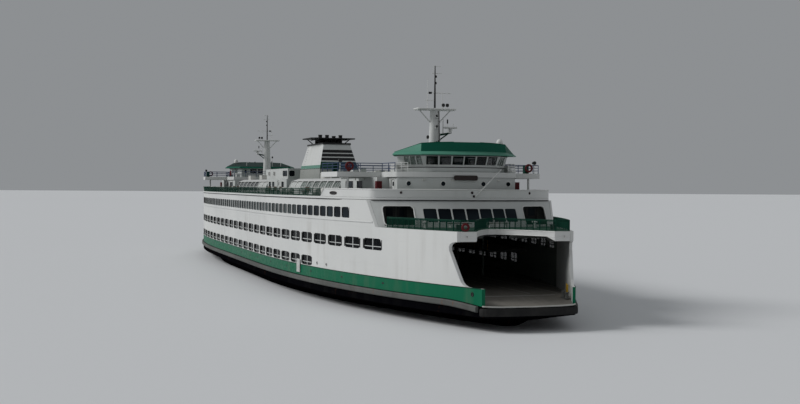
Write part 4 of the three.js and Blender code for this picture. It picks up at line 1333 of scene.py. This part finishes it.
def makeBridgeHouses():
    radius, z, board = bridgeHouse["portRadius"], bridgeHouse["portZ"], bridgeHouse["board"]
    ports = [("x", bridgeFront(y), 1, y - radius, y + radius, z - radius, z + radius, "port")
             for reach in bridgeHouse["portY"] for y in (reach, -reach)]
    for name, end in bothEnds:
        fitHouse(f"bridge_house_{name}", f"house_{name}", bridgeWalls + ports, end, "house")
        # A blank board under the bridge deck's edge
        bm = bmesh.new()
        outline = roundedBox(board["y"], board["z"], 0.17)
        addExtrude(bm, outline, "x", board["x"], board["x"] + 0.06)
        addTube(bm, onPlane(outline, "x", board["x"] + 0.05), 0.025, 0, 6, closed=True)
        for side in (1, -1):
            # A hose locker, and lamps under the deck's edge
            x, y = bridgeHouse["locker"][0], side * bridgeHouse["locker"][1]
            addExtrude(bm, roundedBox((x - 0.3, x + 0.3), (y - 0.3, y + 0.3), 0.08), "z", 11.32, 12.9, 2)
            addExtrude(bm, roundedBox((y - 0.22, y + 0.22), (11.5, 12.75), 0.1), "x", x + 0.3, x + 0.34, 2)
            addTube(bm, [(x + 0.37, y - end * 0.15, z) for z in (12.0, 12.2)], 0.02, 4, 6)
            for x in bridgeHouse["sideLamps"]:
                addBox(bm, (x - 0.16, x + 0.16), (side * 7.61, side * 7.72), (13.08, 13.2), 3)
            for y in bridgeHouse["frontLamps"]:
                x = bridgeFront(y)
                addBox(bm, (x, x + 0.12), (side * y - 0.14, side * y + 0.14), (12.98, 13.1), 3)
        finishPiece(f"bridge_house_fittings_{name}", bm, "brown trim red lamp steel", (end, end))


def makeMidshipHouses():
    look = ("house walkway", lambda middle, normal: 1 if normal.z > 0.7 else 0)
    fitHouse("midship_block", "midship_house", midshipWalls, 1, *look)
    fitHouse("generator_block", "generator_house", generatorWalls, 1, *look)
    for name, end in bothEnds:
        fitHouse(f"spine_block_{name}", f"spine_house_{name}", spineWalls, end, *look)


shelter = {"from": 8, "to": 34, "bays": 8, "closed": 2, "pane": 0.03}
shelterCurve = [(7.57, 11.5), (7.56, 11.9), (7.49, 12.2), (7.3, 12.62), (7.05, 12.86), (6.75, 13.0)]
shelterBench = [
    # shift along the bay, y, z, size, finish
    (0, 4.9, 11.72, (2.2, 0.5, 0.04), 3),
    (0, 4.5, 12.05, (2.2, 0.05, 0.24), 3),
    (-0.8, 4.85, 11.52, (0.06, 0.4, 0.4), 2),
    (0.8, 4.85, 11.52, (0.06, 0.4, 0.4), 2),
]


def makeShelters():
    pitch = (shelter["to"] - shelter["from"]) / shelter["bays"]
    curve = shelterCurve + [(y - shelter["pane"], z) for y, z in reversed(shelterCurve)]
    for endName, end in bothEnds:
        for name, side in sides:
            label = f"{endName}_{name}"
            dressedCopy(f"shelter_frame_{label}", f"shelter_{label}", "white", 0.02)
            bm = bmesh.new()
            for i in range(shelter["bays"]):
                start = shelter["from"] + i * pitch
                stop = start + pitch
                addExtrude(bm, curve, "x", start + 0.12, stop - 0.02, 1 if i < shelter["closed"] else 0)
                for x in (start + pitch * 0.36, start + pitch * 0.68):
                    addTube(bm, [(x, y + 0.01, z) for y, z in shelterCurve], 0.03, 2, 6)
                addTube(bm, [(start + 0.1, 7.5, 12.2), (stop, 7.5, 12.2)], 0.03, 2, 6)
                for shift, y, z, size, mat in shelterBench:
                    addBlock(bm, (start + pitch / 2 + 0.1 + shift, y, z), size, mat)
            glass = "glass" if side * end > 0 else "shelterGlass"
            finishPiece(f"shelter_glass_{label}", bm, f"{glass} house trim wood", (end, side))


makeBridgeHouses()
makeMidshipHouses()
makeShelters()
print("houses on the sun deck ready")

# Bridge decks, pilothouses and their roofs
pilot = {"middle": 49, "floor": 13.87, "sill": 14.52, "head": 15.44, "flare": 0.32, "glassFrom": 0.05,
         "glassTo": 0.08}
pilotCorners = [
    # x, y, outward x and y of the flare, x and y of the wall's thickness
    (53.46, 1.26, 1, 0, 1, 0),
    (53.22, 2.52, 1, 0.3, 1, 0.1),
    (52.82, 3.78, 1, 0.9, 0.85, 0.5),
    (50.3, 5.85, 0.9, 0.4, 0.3, 1),
    (46.6, 4.4, 0, 0, -1, 1),
]
pilotSillAndShadeLines = [
    # height, radius and finish of the sill, the black line under it that paints the shadow of a groove, and
    # the black line over the windows that paints the shade under the eave
    (pilot["sill"], 0.035, 1),
    (pilot["sill"] - 0.22, 0.04, 3),
    (pilot["head"] + 0.03, 0.035, 3),
]
pilotConsole = [(51.2, -2.4), (52.3, -2.4), (52.5, 0), (52.3, 2.4), (51.2, 2.4), (51.5, 0)]
pilotBlocks = [
    # middle, size, finish: seats, their backs, the chart table and the console's screens
    ((50.4, -1.3, 14.32), (0.5, 0.5, 0.12), 3),
    ((50.4, 1.3, 14.32), (0.5, 0.5, 0.12), 3),
    ((50.16, -1.3, 14.62), (0.1, 0.5, 0.6), 3),
    ((50.16, 1.3, 14.62), (0.1, 0.5, 0.6), 3),
    ((47.6, 0, 14.25), (0.9, 2.4, 0.7), 4),
    ((51.8, 0, 14.72), (0.1, 1.2, 0.28), 3),
]
pilotDoor = {"inner": 3.2, "outer": 4.1, "x": 46.71, "low": 14.58, "high": 15.24, "gripZ": 14.4}


def pilotPoint(i, side, z, inset):
    x, y, fx, fy, ix, iy = pilotCorners[i]
    flare = pilot["flare"] * max(0.0, z - pilot["sill"]) / (level["roof"] - pilot["sill"])
    return (x + flare * fx - inset * ix, side * (y + flare * fy - inset * iy), z)


def makePilothouses():
    order = [(i, 1) for i in (4, 3, 2, 1, 0)] + [(i, -1) for i in range(5)]
    low, high, inner, outer = (pilot[key] for key in ("sill", "head", "glassTo", "glassFrom"))
    slab = ((low, inner), (low, outer), (high, outer), (high, inner))
    floor, desk = pilot["floor"], 14.5
    for name, end in bothEnds:
        # Faces turned into the house take the dark inside paint: painted shade
        def wallPaint(middle, normal):
            return 1 if normal.x * (middle.x - end * pilot["middle"]) + normal.y * middle.y < -0.2 else 0

        dressedCopy(f"pilothouse_walls_{name}", f"pilothouse_{name}", "house inside", 0.015,
                    paint=wallPaint)
        bm = bmesh.new()
        for a, b in zip(order, order[1:]):
            # The cheeks' panes are clearer than those of the front, and paler: painted light of the sky seen
            # through them
            panes = [[pilotPoint(*corner, z, inset) for z, inset in slab] for corner in (a, b)]
            addLoft(bm, panes, 5 if 3 in (a[0], b[0]) else 0)
        addBox(bm, (46.66, 46.69), (-2.98, 2.98), (low, high))
        for z, radius, mat in pilotSillAndShadeLines:
            addTube(bm, [pilotPoint(*corner, z, -0.02) for corner in order], radius, mat, 6)
        addExtrude(bm, pilotConsole, "z", floor, desk, 2)
        addExtrude(bm, pilotConsole, "z", desk, desk + 0.08, 3)
        for y in (-1.3, 1.3):
            addTurned(bm, [(0.25, 0), (0.25, 0.03), (0.06, 0.06), (0.06, 0.4)], (50.4, y, floor), 3, 12)
        for centre, size, mat in pilotBlocks:
            addBlock(bm, centre, size, mat)
        finishPiece(f"pilothouse_fittings_{name}", bm, "pilotGlass trim inside black wood shelterGlass",
                    (end, end))


def makePilotDoors():
    x, low, high, gripZ = (pilotDoor[key] for key in ("x", "low", "high", "gripZ"))
    span = (pilotDoor["inner"] + 0.2, pilotDoor["outer"] - 0.23)
    for endName, end in bothEnds:
        for name, side in sides:
            label = f"{endName}_{name}"
            body = f"door_{label}"
            dressedCopy(f"pilot_door_leaf_{label}", f"pilot_door_{label}", "house", 0.012, body)
            bm = bmesh.new()
            addBox(bm, (x - 0.04, x - 0.02), span, (low, high))
            outline = roundedBox(span, (low + 0.02, high - 0.02), 0.05)
            addTube(bm, onPlane(outline, "x", x + 0.006), 0.016, 1, 6, closed=True)
            y = pilotDoor["inner"] + 0.14
            addTube(bm, [(x - 0.04, y, gripZ), (x - 0.085, y, gripZ), (x - 0.085, y, gripZ - 0.14)],
                    0.014, 2, 6)
            finishPiece(f"pilot_door_fittings_{label}", bm, "pilotGlass trim steel", (end, side), body)


roofCorners = [
    # eave's x and y, crown's foot x, y and z, crown's top x, y and z
    (54.95, 1.4, 54.5, 1.4, 15.86, 54.35, 1.4, 16.78),
    (54.6, 3, 54.17, 3, 15.86, 54.02, 3, 16.74),
    (54, 4.64, 53.62, 4.54, 15.84, 53.46, 4.45, 16.65),
    (51.2, 6.68, 51.1, 6.5, 15.72, 51, 6.4, 15.8),
    (46.1, 4.85, 46.3, 4.72, 15.7, 46.34, 4.65, 15.76),
]
roofFlange = {"low": 15.5, "lip": 15.6}
roofDome = [(0.34, 0), (0.36, 0.2), (0.34, 0.42), (0.26, 0.6), (0.12, 0.7), (0.02, 0.72)]
roofTurned = [
    # centre, profile, finish, facets: the dome and its foot, and two lamps
    ((52, 4.5, 16.55), roofDome, 0, 20),
    ((52, 4.5, 16.1), [(0.1, 0), (0.1, 0.5)], 1, 12),
    ((52, 0.9, 16.55), [(0.05, 0), (0.05, 0.12), (0.09, 0.14), (0.09, 0.28), (0.03, 0.32)], 2, 12),
    ((53.4, -2.6, 16.7), [(0.05, 0), (0.05, 0.1), (0.1, 0.12), (0.1, 0.26)], 2, 12),
]


def makeRoofs():
    low, lip = roofFlange["low"], roofFlange["lip"]
    flange, eave, crownEdge, crown = [], [], [], []
    for side, corners in ((1, roofCorners), (-1, roofCorners[::-1])):
        for ex, ey, fx, fy, fz, tx, ty, tz in corners:
            ey, fy, inY, ty = side * ey, side * fy, side * (fy - 0.3), side * ty
            flange.append([(ex, ey, low), (ex, ey, lip), (fx, fy, fz), (fx - 0.3, inY, low)])
            eave.append((ex, ey, low + 0.05))
            crownEdge.append((tx, ty, tz))
            crown += [(fx, fy, low + 0.02), (fx, fy, fz), (tx, ty, tz)]
    for name, end in bothEnds:
        # The flange all round, in the paler green on the near roof as a painted highlight, then the crown
        # that stands on it
        nearSheen = 1 if end > 0 else 0
        bm = bmesh.new()
        addLoft(bm, flange, nearSheen, closed=True)
        hull = bmesh.ops.convex_hull(bm, input=[bm.verts.new(point) for point in crown])
        for face in hull["geom"]:
            if isinstance(face, bmesh.types.BMFace):
                face.normal_update()
                # On the near roof the cheek towards the light takes the paler green, a painted highlight and
                # sky sheen; the crown's top has a dark coat
                cheek = face.normal.y < -0.45 and abs(face.normal.z) < 0.85
                sheenCheek = nearSheen and cheek and face.calc_center_median().x > 50
                face.material_index = 1 if sheenCheek else 2 if face.normal.z > 0.8 else 0
        # A raised seam along the crown's edge and the gutter under the flange, the gutter paler on the near
        # roof as painted highlight
        addTube(bm, crownEdge, 0.035, 0, 6)
        addTube(bm, eave, 0.03, nearSheen, 6)
        finishPiece(f"pilothouse_roof_{name}", bm, "roof roofLight roofTop", (end, end),
                    node=f"roof_{name}", angle=25)
        bm = bmesh.new()
        for centre, profile, mat, count in roofTurned:
            addTurned(bm, profile, centre, mat, count)
        for y in (-3.2, 3.2):
            addTube(bm, [(48, y, 15.8), (48, y, 16.55), (48, y + end * 0.35, 16.6)], 0.05, 1)
        finishPiece(f"roof_fittings_{name}", bm, "trim white black", (end, end))


bridgeDeck = {"railTop": 0.88, "cornerRail": [(51.5, 6.42), (51.85, 5.95), (52.2, 5.4)], "postY": 10.85}
navRailPath = [(51.4, 6.46), (47.08, 6.46), (47.08, 11.18), (42.32, 11.58), (42.32, 7.65), (35.12, 7.65)]
bridgeLockers = [
    # middle and size
    ((50.1, 6.15, 14.22), (1.2, 0.34, 0.72)),
    ((51.5, 6.1, 14.0), (0.5, 0.7, 0.28)),
    ((37.5, 6.7, 14.1), (1.1, 0.6, 0.46)),
    ((40.5, 6.7, 14.1), (1.1, 0.6, 0.46)),
]


def makeBridgeDecks():
    base, top, y = level["navDeck"] + ship["gap"], bridgeDeck["railTop"], bridgeDeck["postY"]
    for name, end in bothEnds:
        dressedCopy(f"bridge_deck_{name}", f"nav_deck_{name}", deckPaints, 0.03,
                    paint=deckPaint)
        bm = bmesh.new()
        addRailing(bm, bothSidesOf(navRailPath), base, top, [0.3, 0.6], 1.9)
        finishPiece(f"bridge_rail_{name}", bm, "blueGrey", (end, end),
                    node=f"nav_rail_{name}")
        # The white rail that goes on round the front's corner, life rings and lockers
        bm = bmesh.new()
        addRailing(bm, bridgeDeck["cornerRail"], base, top, [0.22, 0.44, 0.66], 0.7, 1, radius=0.035)
        addLifeRing(bm, (47.2, 10.0, 14.42), "x", 0.36)
        addLifeRing(bm, (38.8, 7.74, 14.45), "y", 0.4)
        for centre, size in bridgeLockers:
            addBlock(bm, centre, size, 1)
        # The control box at the wing's end and a searchlight
        addExtrude(bm, roundedBox((44.3, 44.9), (y - 0.25, y + 0.25), 0.08), "z", 13.86, 14.75, 2)
        addTube(bm, [(46.7, y, 13.86), (46.7, y, 14.85)], 0.05, 1)
        addTube(bm, [(46.5, y, 15.0), (46.9, y, 15.0)], [0.16, 0.2], 3, 14)
        addCopies(bm, otherSide)
        finishPiece(f"bridge_deck_fittings_{name}", bm, "red trim green black", (end, end))


makePilothouses()
makePilotDoors()
makeRoofs()
makeBridgeDecks()
print("bridge decks and pilothouses ready")

# Masts, with the radar on its lower arm
mast = {"x": 45, "foot": 13.853, "platform": 20.5, "ladder": -0.82, "ladderLean": 0.28}
mastTrunk = [
    # height, half length and half width
    (mast["foot"], 0.7, 0.78),
    (mast["foot"] + 0.3, 0.68, 0.76),
    (mast["platform"] - 0.9, 0.46, 0.52),
    (mast["platform"] + 0.02, 0.44, 0.5),
]
mastBars = [
    # shift ahead of the mast, then y and z along the bar, radius, finish, facets
    (0, [(0, 20.5), (0, 22.6), (0, 25.25)], [0.11, 0.09, 0.05], 2, 12),
    (0, [(-0.35, 22.36), (1.82, 22.36)], 0.045, 1, 8),
    (0, [(-1.1, 21.55), (-0.1, 21.55)], 0.035, 1, 8),
    (0, [(-0.35, 24.45), (0.75, 24.45)], 0.04, 1, 8),
    (0, [(-0.2, 25.19), (0.7, 25.19)], 0.04, 1, 8),
    (0, [(-0.83, 20.5), (-0.83, 23.85)], [0.045, 0.02], 1, 8),
    (0, [(-0.18, 24.4), (-0.18, 25.25)], 0.02, 1, 6),
    (0, [(0.85, 20.5), (0.85, 22.3)], 0.035, 1, 8),
    (0, [(0.97, 20.65), (0.97, 20.92)], 0.04, 1, 8),
    (0, [(1.43, 20.65), (1.43, 20.92)], 0.04, 1, 8),
    (0, [(1.75, 20.52), (0.4, 19.1)], 0.06, 1, 8),
    (0, [(-1.75, 20.52), (-0.4, 19.1)], 0.06, 1, 8),
    # The lower arm with its bracket, and what stands on it
    (0, [(0.2, 17.86), (1.0, 17.98), (1.88, 18.15)], [0.12, 0.11, 0.08], 3, 10),
    (0, [(0.3, 16.95), (0.75, 17.5), (1.5, 18.02)], 0.07, 3, 8),
    (0, [(0.95, 18.0), (0.95, 19.75), (1.2, 19.85)], [0.06, 0.05, 0.04], 1, 8),
    (0, [(1.9, 18.15), (2.15, 19.1)], 0.03, 1, 6),
    (0, [(1.75, 18.1), (1.75, 18.415)], 0.2, 1, 14),
    (-0.35, [(1.59, 18.0), (1.59, 19.2)], 0.025, 1, 6),
    # The post of the lamp beside the trunk
    (1.5, [(-1.3, 15.9), (-1.3, 17.4)], 0.035, 1, 8),
]
mastDrum = [(0.06, 0), (0.17, 0.04), (0.18, 0.28), (0.1, 0.36)]
mastAerial = [(0.05, -0.12), (0.09, -0.1), (0.09, 0.1), (0.04, 0.13)]
mastLamp = [(0.09, 0.03), (0.1, 0.06), (0.1, 0.26), (0.05, 0.3)]
mastLampZ = [16.9, 18.6, 19.7]
mastTurned = [
    # shift ahead of the mast, y, z, profile, facets
    (0, 0.97, 20.9, mastDrum, 14),
    (0, 1.43, 20.9, mastDrum, 14),
    (0, -0.45, 22.35, mastAerial, 10),
    (0, -0.62, 22.35, mastAerial, 10),
    (0, 0.1, 23.4, mastAerial, 10),
    (0, 0.12, 24.1, mastAerial, 10),
    (-0.35, 1.59, 19.15, [(0.06, 0), (0.08, 0.05), (0.08, 0.4), (0.05, 0.45)], 10),
    (1.5, -1.3, 17.4, [(0.06, 0), (0.14, 0.04), (0.14, 0.3), (0.05, 0.36)], 12),
] + [(0.68, 0, z, mastLamp, 12) for z in mastLampZ]
radar = {"y": 1.75, "z": 18.42, "beam": 0.28, "ends": [-0.8, -0.77, 0, 0.77, 0.8]}
radarPost = [(0.16, 0), (0.16, 0.12), (0.11, 0.2), (0.08, 0.3)]


def makeMasts():
    x, low, high = mast["x"], mast["foot"], mast["platform"]
    for name, end in bothEnds:
        bm = bmesh.new()
        addLoft(bm, [[(x + rx * a, ry * b, z) for a, b in circle(24)] for z, rx, ry in mastTrunk])
        plate = roundedBox((x - 0.75, x + 0.75), (-2.15, 2.15), 0.25)
        addExtrude(bm, plate, "z", high, high + 0.05, 1)
        addTube(bm, onPlane(plate, "z", high + 0.12), 0.08, 1, closed=True)
        for shift, line, radius, mat, count in mastBars:
            addTube(bm, onPlane(line, "x", x + shift), radius, mat, count)
        for shift, y, z, profile, count in mastTurned:
            addTurned(bm, profile, (x + shift, y, z), 2, count)
        for z in mastLampZ:
            addBlock(bm, (x + 0.62, 0, z), (0.3, 0.34, 0.06), 1)
        # Ladder up the rear of the trunk
        rear, lean = x + mast["ladder"], mast["ladderLean"]
        for y in (-0.2, 0.2):
            addTube(bm, [(rear, y, low), (rear + lean, y, high)], 0.025, 1, 6)
        for z in spread(low + 0.3, high - 0.2, 0.33):
            slide = rear + lean * (z - low) / (high - low)
            addTube(bm, [(slide, -0.2, z), (slide, 0.2, z)], 0.018, 1, 5)
        # Cables up the trunk beside the lamps
        for y, mat in ((0.24, 1), (0.32, 2), (0.4, 2)):
            foot, top = (x + math.sqrt(reach**2 - (y * 0.9) ** 2) for reach in (0.7, 0.44))
            addTube(bm, [(foot, y, low + 0.6), (top + 0.03, y, high - 0.1)], 0.03, mat, 6)
        finishPiece(f"mast_{name}_dressed", bm, "white trim black green", (end, end),
                    node=f"mast_{name}", angle=30)


def makeRadars():
    x, y, low = mast["x"], radar["y"], radar["z"]
    for name, end in bothEnds:
        bm = bmesh.new()
        addTurned(bm, radarPost, (x, y, low), 1)
        sections = []
        for along in radar["ends"]:
            size = 0.75 if abs(along) == max(radar["ends"]) else 1
            half = [(0.1 * size, 0.06 * size), (-0.04, 0.1 * size), (-0.1, 0.05 * size)]
            outline = half + [(a, -b) for a, b in reversed(half)]
            sections.append([(x + end * a, y + along, low + radar["beam"] + b) for a, b in outline])
        addLoft(bm, sections)
        body = f"radar_{name}"
        finishPiece(f"radar_scanner_{name}", bm, "trim steel", (end, end), body, body)


# Funnel, exhaust pipes and the wing over them
funnel = {"plinth": 14.8, "top": 18.2, "cap": 18.45, "wing": 19.08, "radius": 0.27, "footY": 2.78,
          "topY": 1.95}


def funnelPaint(middle, normal):
    return 2 if normal.z > 0.7 else 0 if abs(normal.x) > abs(normal.y) else 1


def makeFunnel():
    dressedCopy("funnel_casing", "funnel", "funnelEnd funnelSide soot", 0.06,
                paint=funnelPaint)
    bm = bmesh.new()
    low, wing, radius = funnel["cap"] + ship["gap"], funnel["wing"], funnel["radius"]
    wide, bore = radius + 0.03, radius - 0.05
    for x in (-1, 1):
        for y in (-1.5, -0.5, 0.5, 1.5):
            top = 1.26 - 0.3 * (x < 0) - 0.14 * (y == 0.5)
            pipe = [(wide, 0), (radius, 0.06), (radius, top - 0.09), (wide, top - 0.06), (wide, top)]
            addTurned(bm, pipe + [(bore, top), (bore, 0.5)], (x, y, low), 0, 20)
    outline = roundedBox((-2.7, 2.7), (-3.3, 3.3), 0.2)
    layers = ((wing, 0.985), (wing + 0.04, 1), (wing + 0.12, 1), (wing + 0.16, 0.985))
    addLoft(bm, [[(a * share, b * share, z) for a, b in outline] for z, share in layers], 1)
    for x in (-2.2, 2.2):
        for side in (1, -1):
            addTube(bm, [(x, side * 1.85, 18.5), (x, side * 2.6, wing + 0.03)], 0.07, 1, 10)
    for y in (-2.0, 2.0):
        addTube(bm, [(-2.5, y, wing - 0.05), (2.5, y, wing - 0.05)], 0.06, 1)
    finishPiece("exhaust_pipes", bm, "soot black", node="exhaust")
    # Steps up the sides, doors in the plinth's ends and a seam round the plinth
    bm = bmesh.new()
    foot, top = funnel["plinth"], funnel["top"]
    slope = (funnel["footY"] - funnel["topY"]) / (top - foot)
    for z in spread(14.2, 18.0, 0.35):
        inner = funnel["footY"] - slope * max(0.0, z - foot)
        step = ((-4.0, inner), (-4.0, inner + 0.1), (-3.6, inner + 0.1), (-3.6, inner))
        for side in (1, -1):
            addTube(bm, [(x, side * y, z) for x, y in step], 0.02, 1, 5)
    door = roundedBox((-0.5, 0.5), (13.4, 14.7), 0.12)
    for end in (1, -1):
        addExtrude(bm, door, "x", end * 5.98, end * 6.12, 2)
        addTube(bm, onPlane(door, "x", end * 6.12), 0.03, 1, 6, closed=True)
    addTube(bm, onPlane(roundedBox((-5.96, 5.96), (-2.79, 2.79), 0.06), "z", foot), 0.03, 0, 6,
            closed=True)
    finishPiece("funnel_fittings", bm, "black trim house")


makeMasts()
makeRadars()
makeFunnel()
print("masts and funnel ready")

# Rails of the sun deck and of the promenade over the mouths
promenadeBitt = [(0.16, 0), (0.14, 0.05), (0.13, 0.42), (0.18, 0.46), (0.17, 0.52)]
promenadeVent = [(0.2, 0), (0.16, 0.03), (0.16, 0.45), (0.3, 0.5), (0.28, 0.62), (0.05, 0.68)]
promenadeBlocks = [
    # middle over the deck, size, finish: the bitts' plate, and a bench with its legs
    ((64.2, 4.6, 0.02), (1.0, 0.4, 0.05), 3),
    ((57.6, 2.0, 0.42), (0.5, 2.4, 0.06), 4),
    ((57.6, 1.1, 0.2), (0.4, 0.07, 0.4), 2),
    ((57.6, 2.9, 0.2), (0.4, 0.07, 0.4), 2),
]


def makeSunRails():
    base = level["sunDeck"] + ship["gap"]
    path = [(x, sunHalf(x) - 0.12) for x in spread(-42.4, 42.4, 2.2)]
    for name, side in sides:
        bm = bmesh.new()
        addRailing(bm, path, base, 0.76, [0.1, 0.32, 0.54], 2.2, picket=0.18)
        finishPiece(f"sun_deck_rail_{name}", bm, "green", (1, side),
                    node=f"sun_rail_{name}")


def makePromenades():
    path = [(x, halfBeam(x) - 0.403) for x in spread(56, 66.25, 0.85)] + [(66.25, 3.91)]
    path = bothSidesOf(path + [(notchX(y) - 0.2, y) for y in spread(3.4, 0, 0.34)[:-1]])
    base = level["passengerDeck"]
    for name, end in bothEnds:
        bm = bmesh.new()
        addRailing(bm, path, base + ship["gap"], 0.98, [0.1, 0.88], 1.4, picket=0.08, radius=0.045,
                   wire=0.02)
        finishPiece(f"promenade_railing_{name}", bm, "green", (end, end),
                    node=f"promenade_rail_{name}")
        bm = bmesh.new()
        z = base + 0.02
        for x in (63.9, 64.5):
            addTurned(bm, promenadeBitt, (x, 4.6, z), 3, 14)
        for (x, y, up), size, mat in promenadeBlocks:
            addBlock(bm, (x, y, z + up), size, mat)
        addTurned(bm, promenadeVent, (58.2, 5.6, z), 2)
        addCopies(bm, otherSide)
        addLifeRing(bm, (66.36, -4.84, 8.85), "x", 0.28)
        finishPiece(f"promenade_fittings_{name}", bm, "red lamp trim black wood", (end, end))


# What stands on the sun deck and on the roofs between the bridge decks
deckGear = {
    "rafts": [24.5, 27.5, 37.5, 40.0],
    "benches": [12, 15.5, 19, 31.5],
    "lockers": [(20.2, 5.6), (14.5, 3.2), (27, 3.0), (31, 5.4)],
    "vents": [(11, 1.6), (17.5, 1.4), (23.5, 1.6), (29.2, 1.5), (33, 2.2)],
    "vent": [(0.26, 0), (0.2, 0.04), (0.2, 0.7), (0.42, 0.78), (0.4, 0.95), (0.06, 1.02)],
}


def makeDeckGear():
    bm = bmesh.new()
    deck, roof = level["sunDeck"] + 0.01, level["navBeam"]
    # Raft canisters in pairs on cradles beside the houses
    for x in deckGear["rafts"]:
        y = sunHalf(x) - 1.5
        addTube(bm, [(x + a, y, deck + 0.5) for a in (-0.75, -0.66, 0.66, 0.75)],
                [0.24, 0.34, 0.34, 0.24], 0, 20)
        for shift in (-0.4, 0.4):
            addBlock(bm, (x + shift, y, deck + 0.1), (0.08, 0.7, 0.22), 1)
    for x in deckGear["benches"]:
        y = sunHalf(x) - 2.2
        addBlock(bm, (x, y, deck + 0.44), (1.9, 0.5, 0.06), 2)
        addBlock(bm, (x, y - 0.24, deck + 0.72), (1.9, 0.05, 0.42), 2)
        for shift in (-0.75, 0.75):
            addBlock(bm, (x + shift, y, deck + 0.21), (0.07, 0.42, 0.42), 1)
    for x, y in deckGear["lockers"]:
        addBlock(bm, (x, y, roof + 0.34), (2.0, 0.8, 0.66))
        addBlock(bm, (x, y, roof + 0.69), (2.08, 0.88, 0.05), 1)
    for x, y in deckGear["vents"]:
        addTurned(bm, deckGear["vent"], (x, y, roof), 0, 18)
    addCopies(bm, otherQuarters)
    finishPiece("deck_gear", bm, "canvas trim wood")


# What hangs on the ship's sides: scuppers, ports, the boarding ladder, roller fairleads
sideGear = {
    "scupperZ": 3.2,
    "scupperX": [-52, -44, -36, -28.5, -21, -14.7, -5.3, 4.7, 11.4, 16.3, 24, 31.4, 40, 48, 56],
    "portX": [41.8, 44.3],
    "portZ": 4.2,
    "ladderX": (35.8, 36.7),
    "ladderZ": (2.85, 4.3),
    "ladderOut": 0.12,
    "fairleadX": 68.15,
    "fairleadZ": 3.18,
    "bitt": [(0.18, 0), (0.15, 0.05), (0.14, 0.5), (0.2, 0.54), (0.19, 0.62)],
    "bittX": 66.9,
    "bittY": 4.55,
    "handRail": [64.9, 65.6, 66.2],
}


def skinPoint(x, z, out):
    # A point this far outside the port side's skin
    normal = Vector((-sideSlope(x), 1)).normalized()
    return (x + normal.x * out, halfBeam(x) + normal.y * out, z)


def skinOval(x, z, long, high, out, count):
    return [skinPoint(x + long * a, z + high * b, out) for a, b in circle(count)]


def addSkinDisc(bm, x, z, long, high):
    # A flat disc lying on the ship's side
    addLoft(bm, [skinOval(x, z, long, high, out, 14) for out in (-0.03, 0.012)])


def makeSideGear():
    bm = bmesh.new()
    (low, high), out = sideGear["ladderZ"], sideGear["ladderOut"]
    for x in sideGear["scupperX"]:
        addSkinDisc(bm, x, sideGear["scupperZ"], 0.2, 0.1)
    for x in sideGear["portX"]:
        addSkinDisc(bm, x, sideGear["portZ"], 0.15, 0.15)
        addTube(bm, skinOval(x, sideGear["portZ"], 0.17, 0.17, 0.02, 16), 0.03, 1, 6, closed=True)
    for x in sideGear["ladderX"]:
        addTube(bm, [skinPoint(x, low, out), skinPoint(x, high, out)], 0.05, 1)
        for z in (low + 0.2, high - 0.1):
            addTube(bm, [skinPoint(x, z, 0), skinPoint(x, z, out)], 0.03, 1, 6)
    for z in spread(low + 0.05, high - 0.05, 0.12):
        addTube(bm, [skinPoint(x, z, out) for x in sideGear["ladderX"]], 0.05, 1, 6)
    # All this is on the starboard side near the one end, and on the port side near the other
    bmesh.ops.scale(bm, vec=(1, -1, 1), verts=bm.verts)
    addCopies(bm, [(-1, -1)])
    since = (len(bm.verts), len(bm.edges), len(bm.faces))
    x, z = sideGear["fairleadX"], sideGear["fairleadZ"]
    addSkinDisc(bm, x, z, 0.1, 0.13)
    addTube(bm, skinOval(x, z, 0.13, 0.17, 0.015, 16), 0.035, 0, 6, closed=True)
    # Mooring bitts and hand rails at the ends of the car deck
    middle, y = sideGear["bittX"], sideGear["bittY"]
    for x in (middle - 0.35, middle + 0.35):
        addTurned(bm, sideGear["bitt"], (x, y, deckHeight(x) + 0.02), 2)
    addBlock(bm, (middle, y, deckHeight(middle) + 0.05), (1.2, 0.5, 0.06), 2)
    posts = [(x, halfBeam(x) - 0.5) for x in sideGear["handRail"]]
    for x, y in posts:
        addTube(bm, [(x, y, 2.6), (x, y, 3.6)], 0.04, 3)
    addTube(bm, onPlane(posts, "z", 3.6), 0.045, 3)
    addCopies(bm, otherQuarters, since)
    finishPiece("side_gear", bm, "black trim guard yellow")


makeSunRails()
makePromenades()
makeDeckGear()
makeSideGear()
print("rails and deck gear ready")
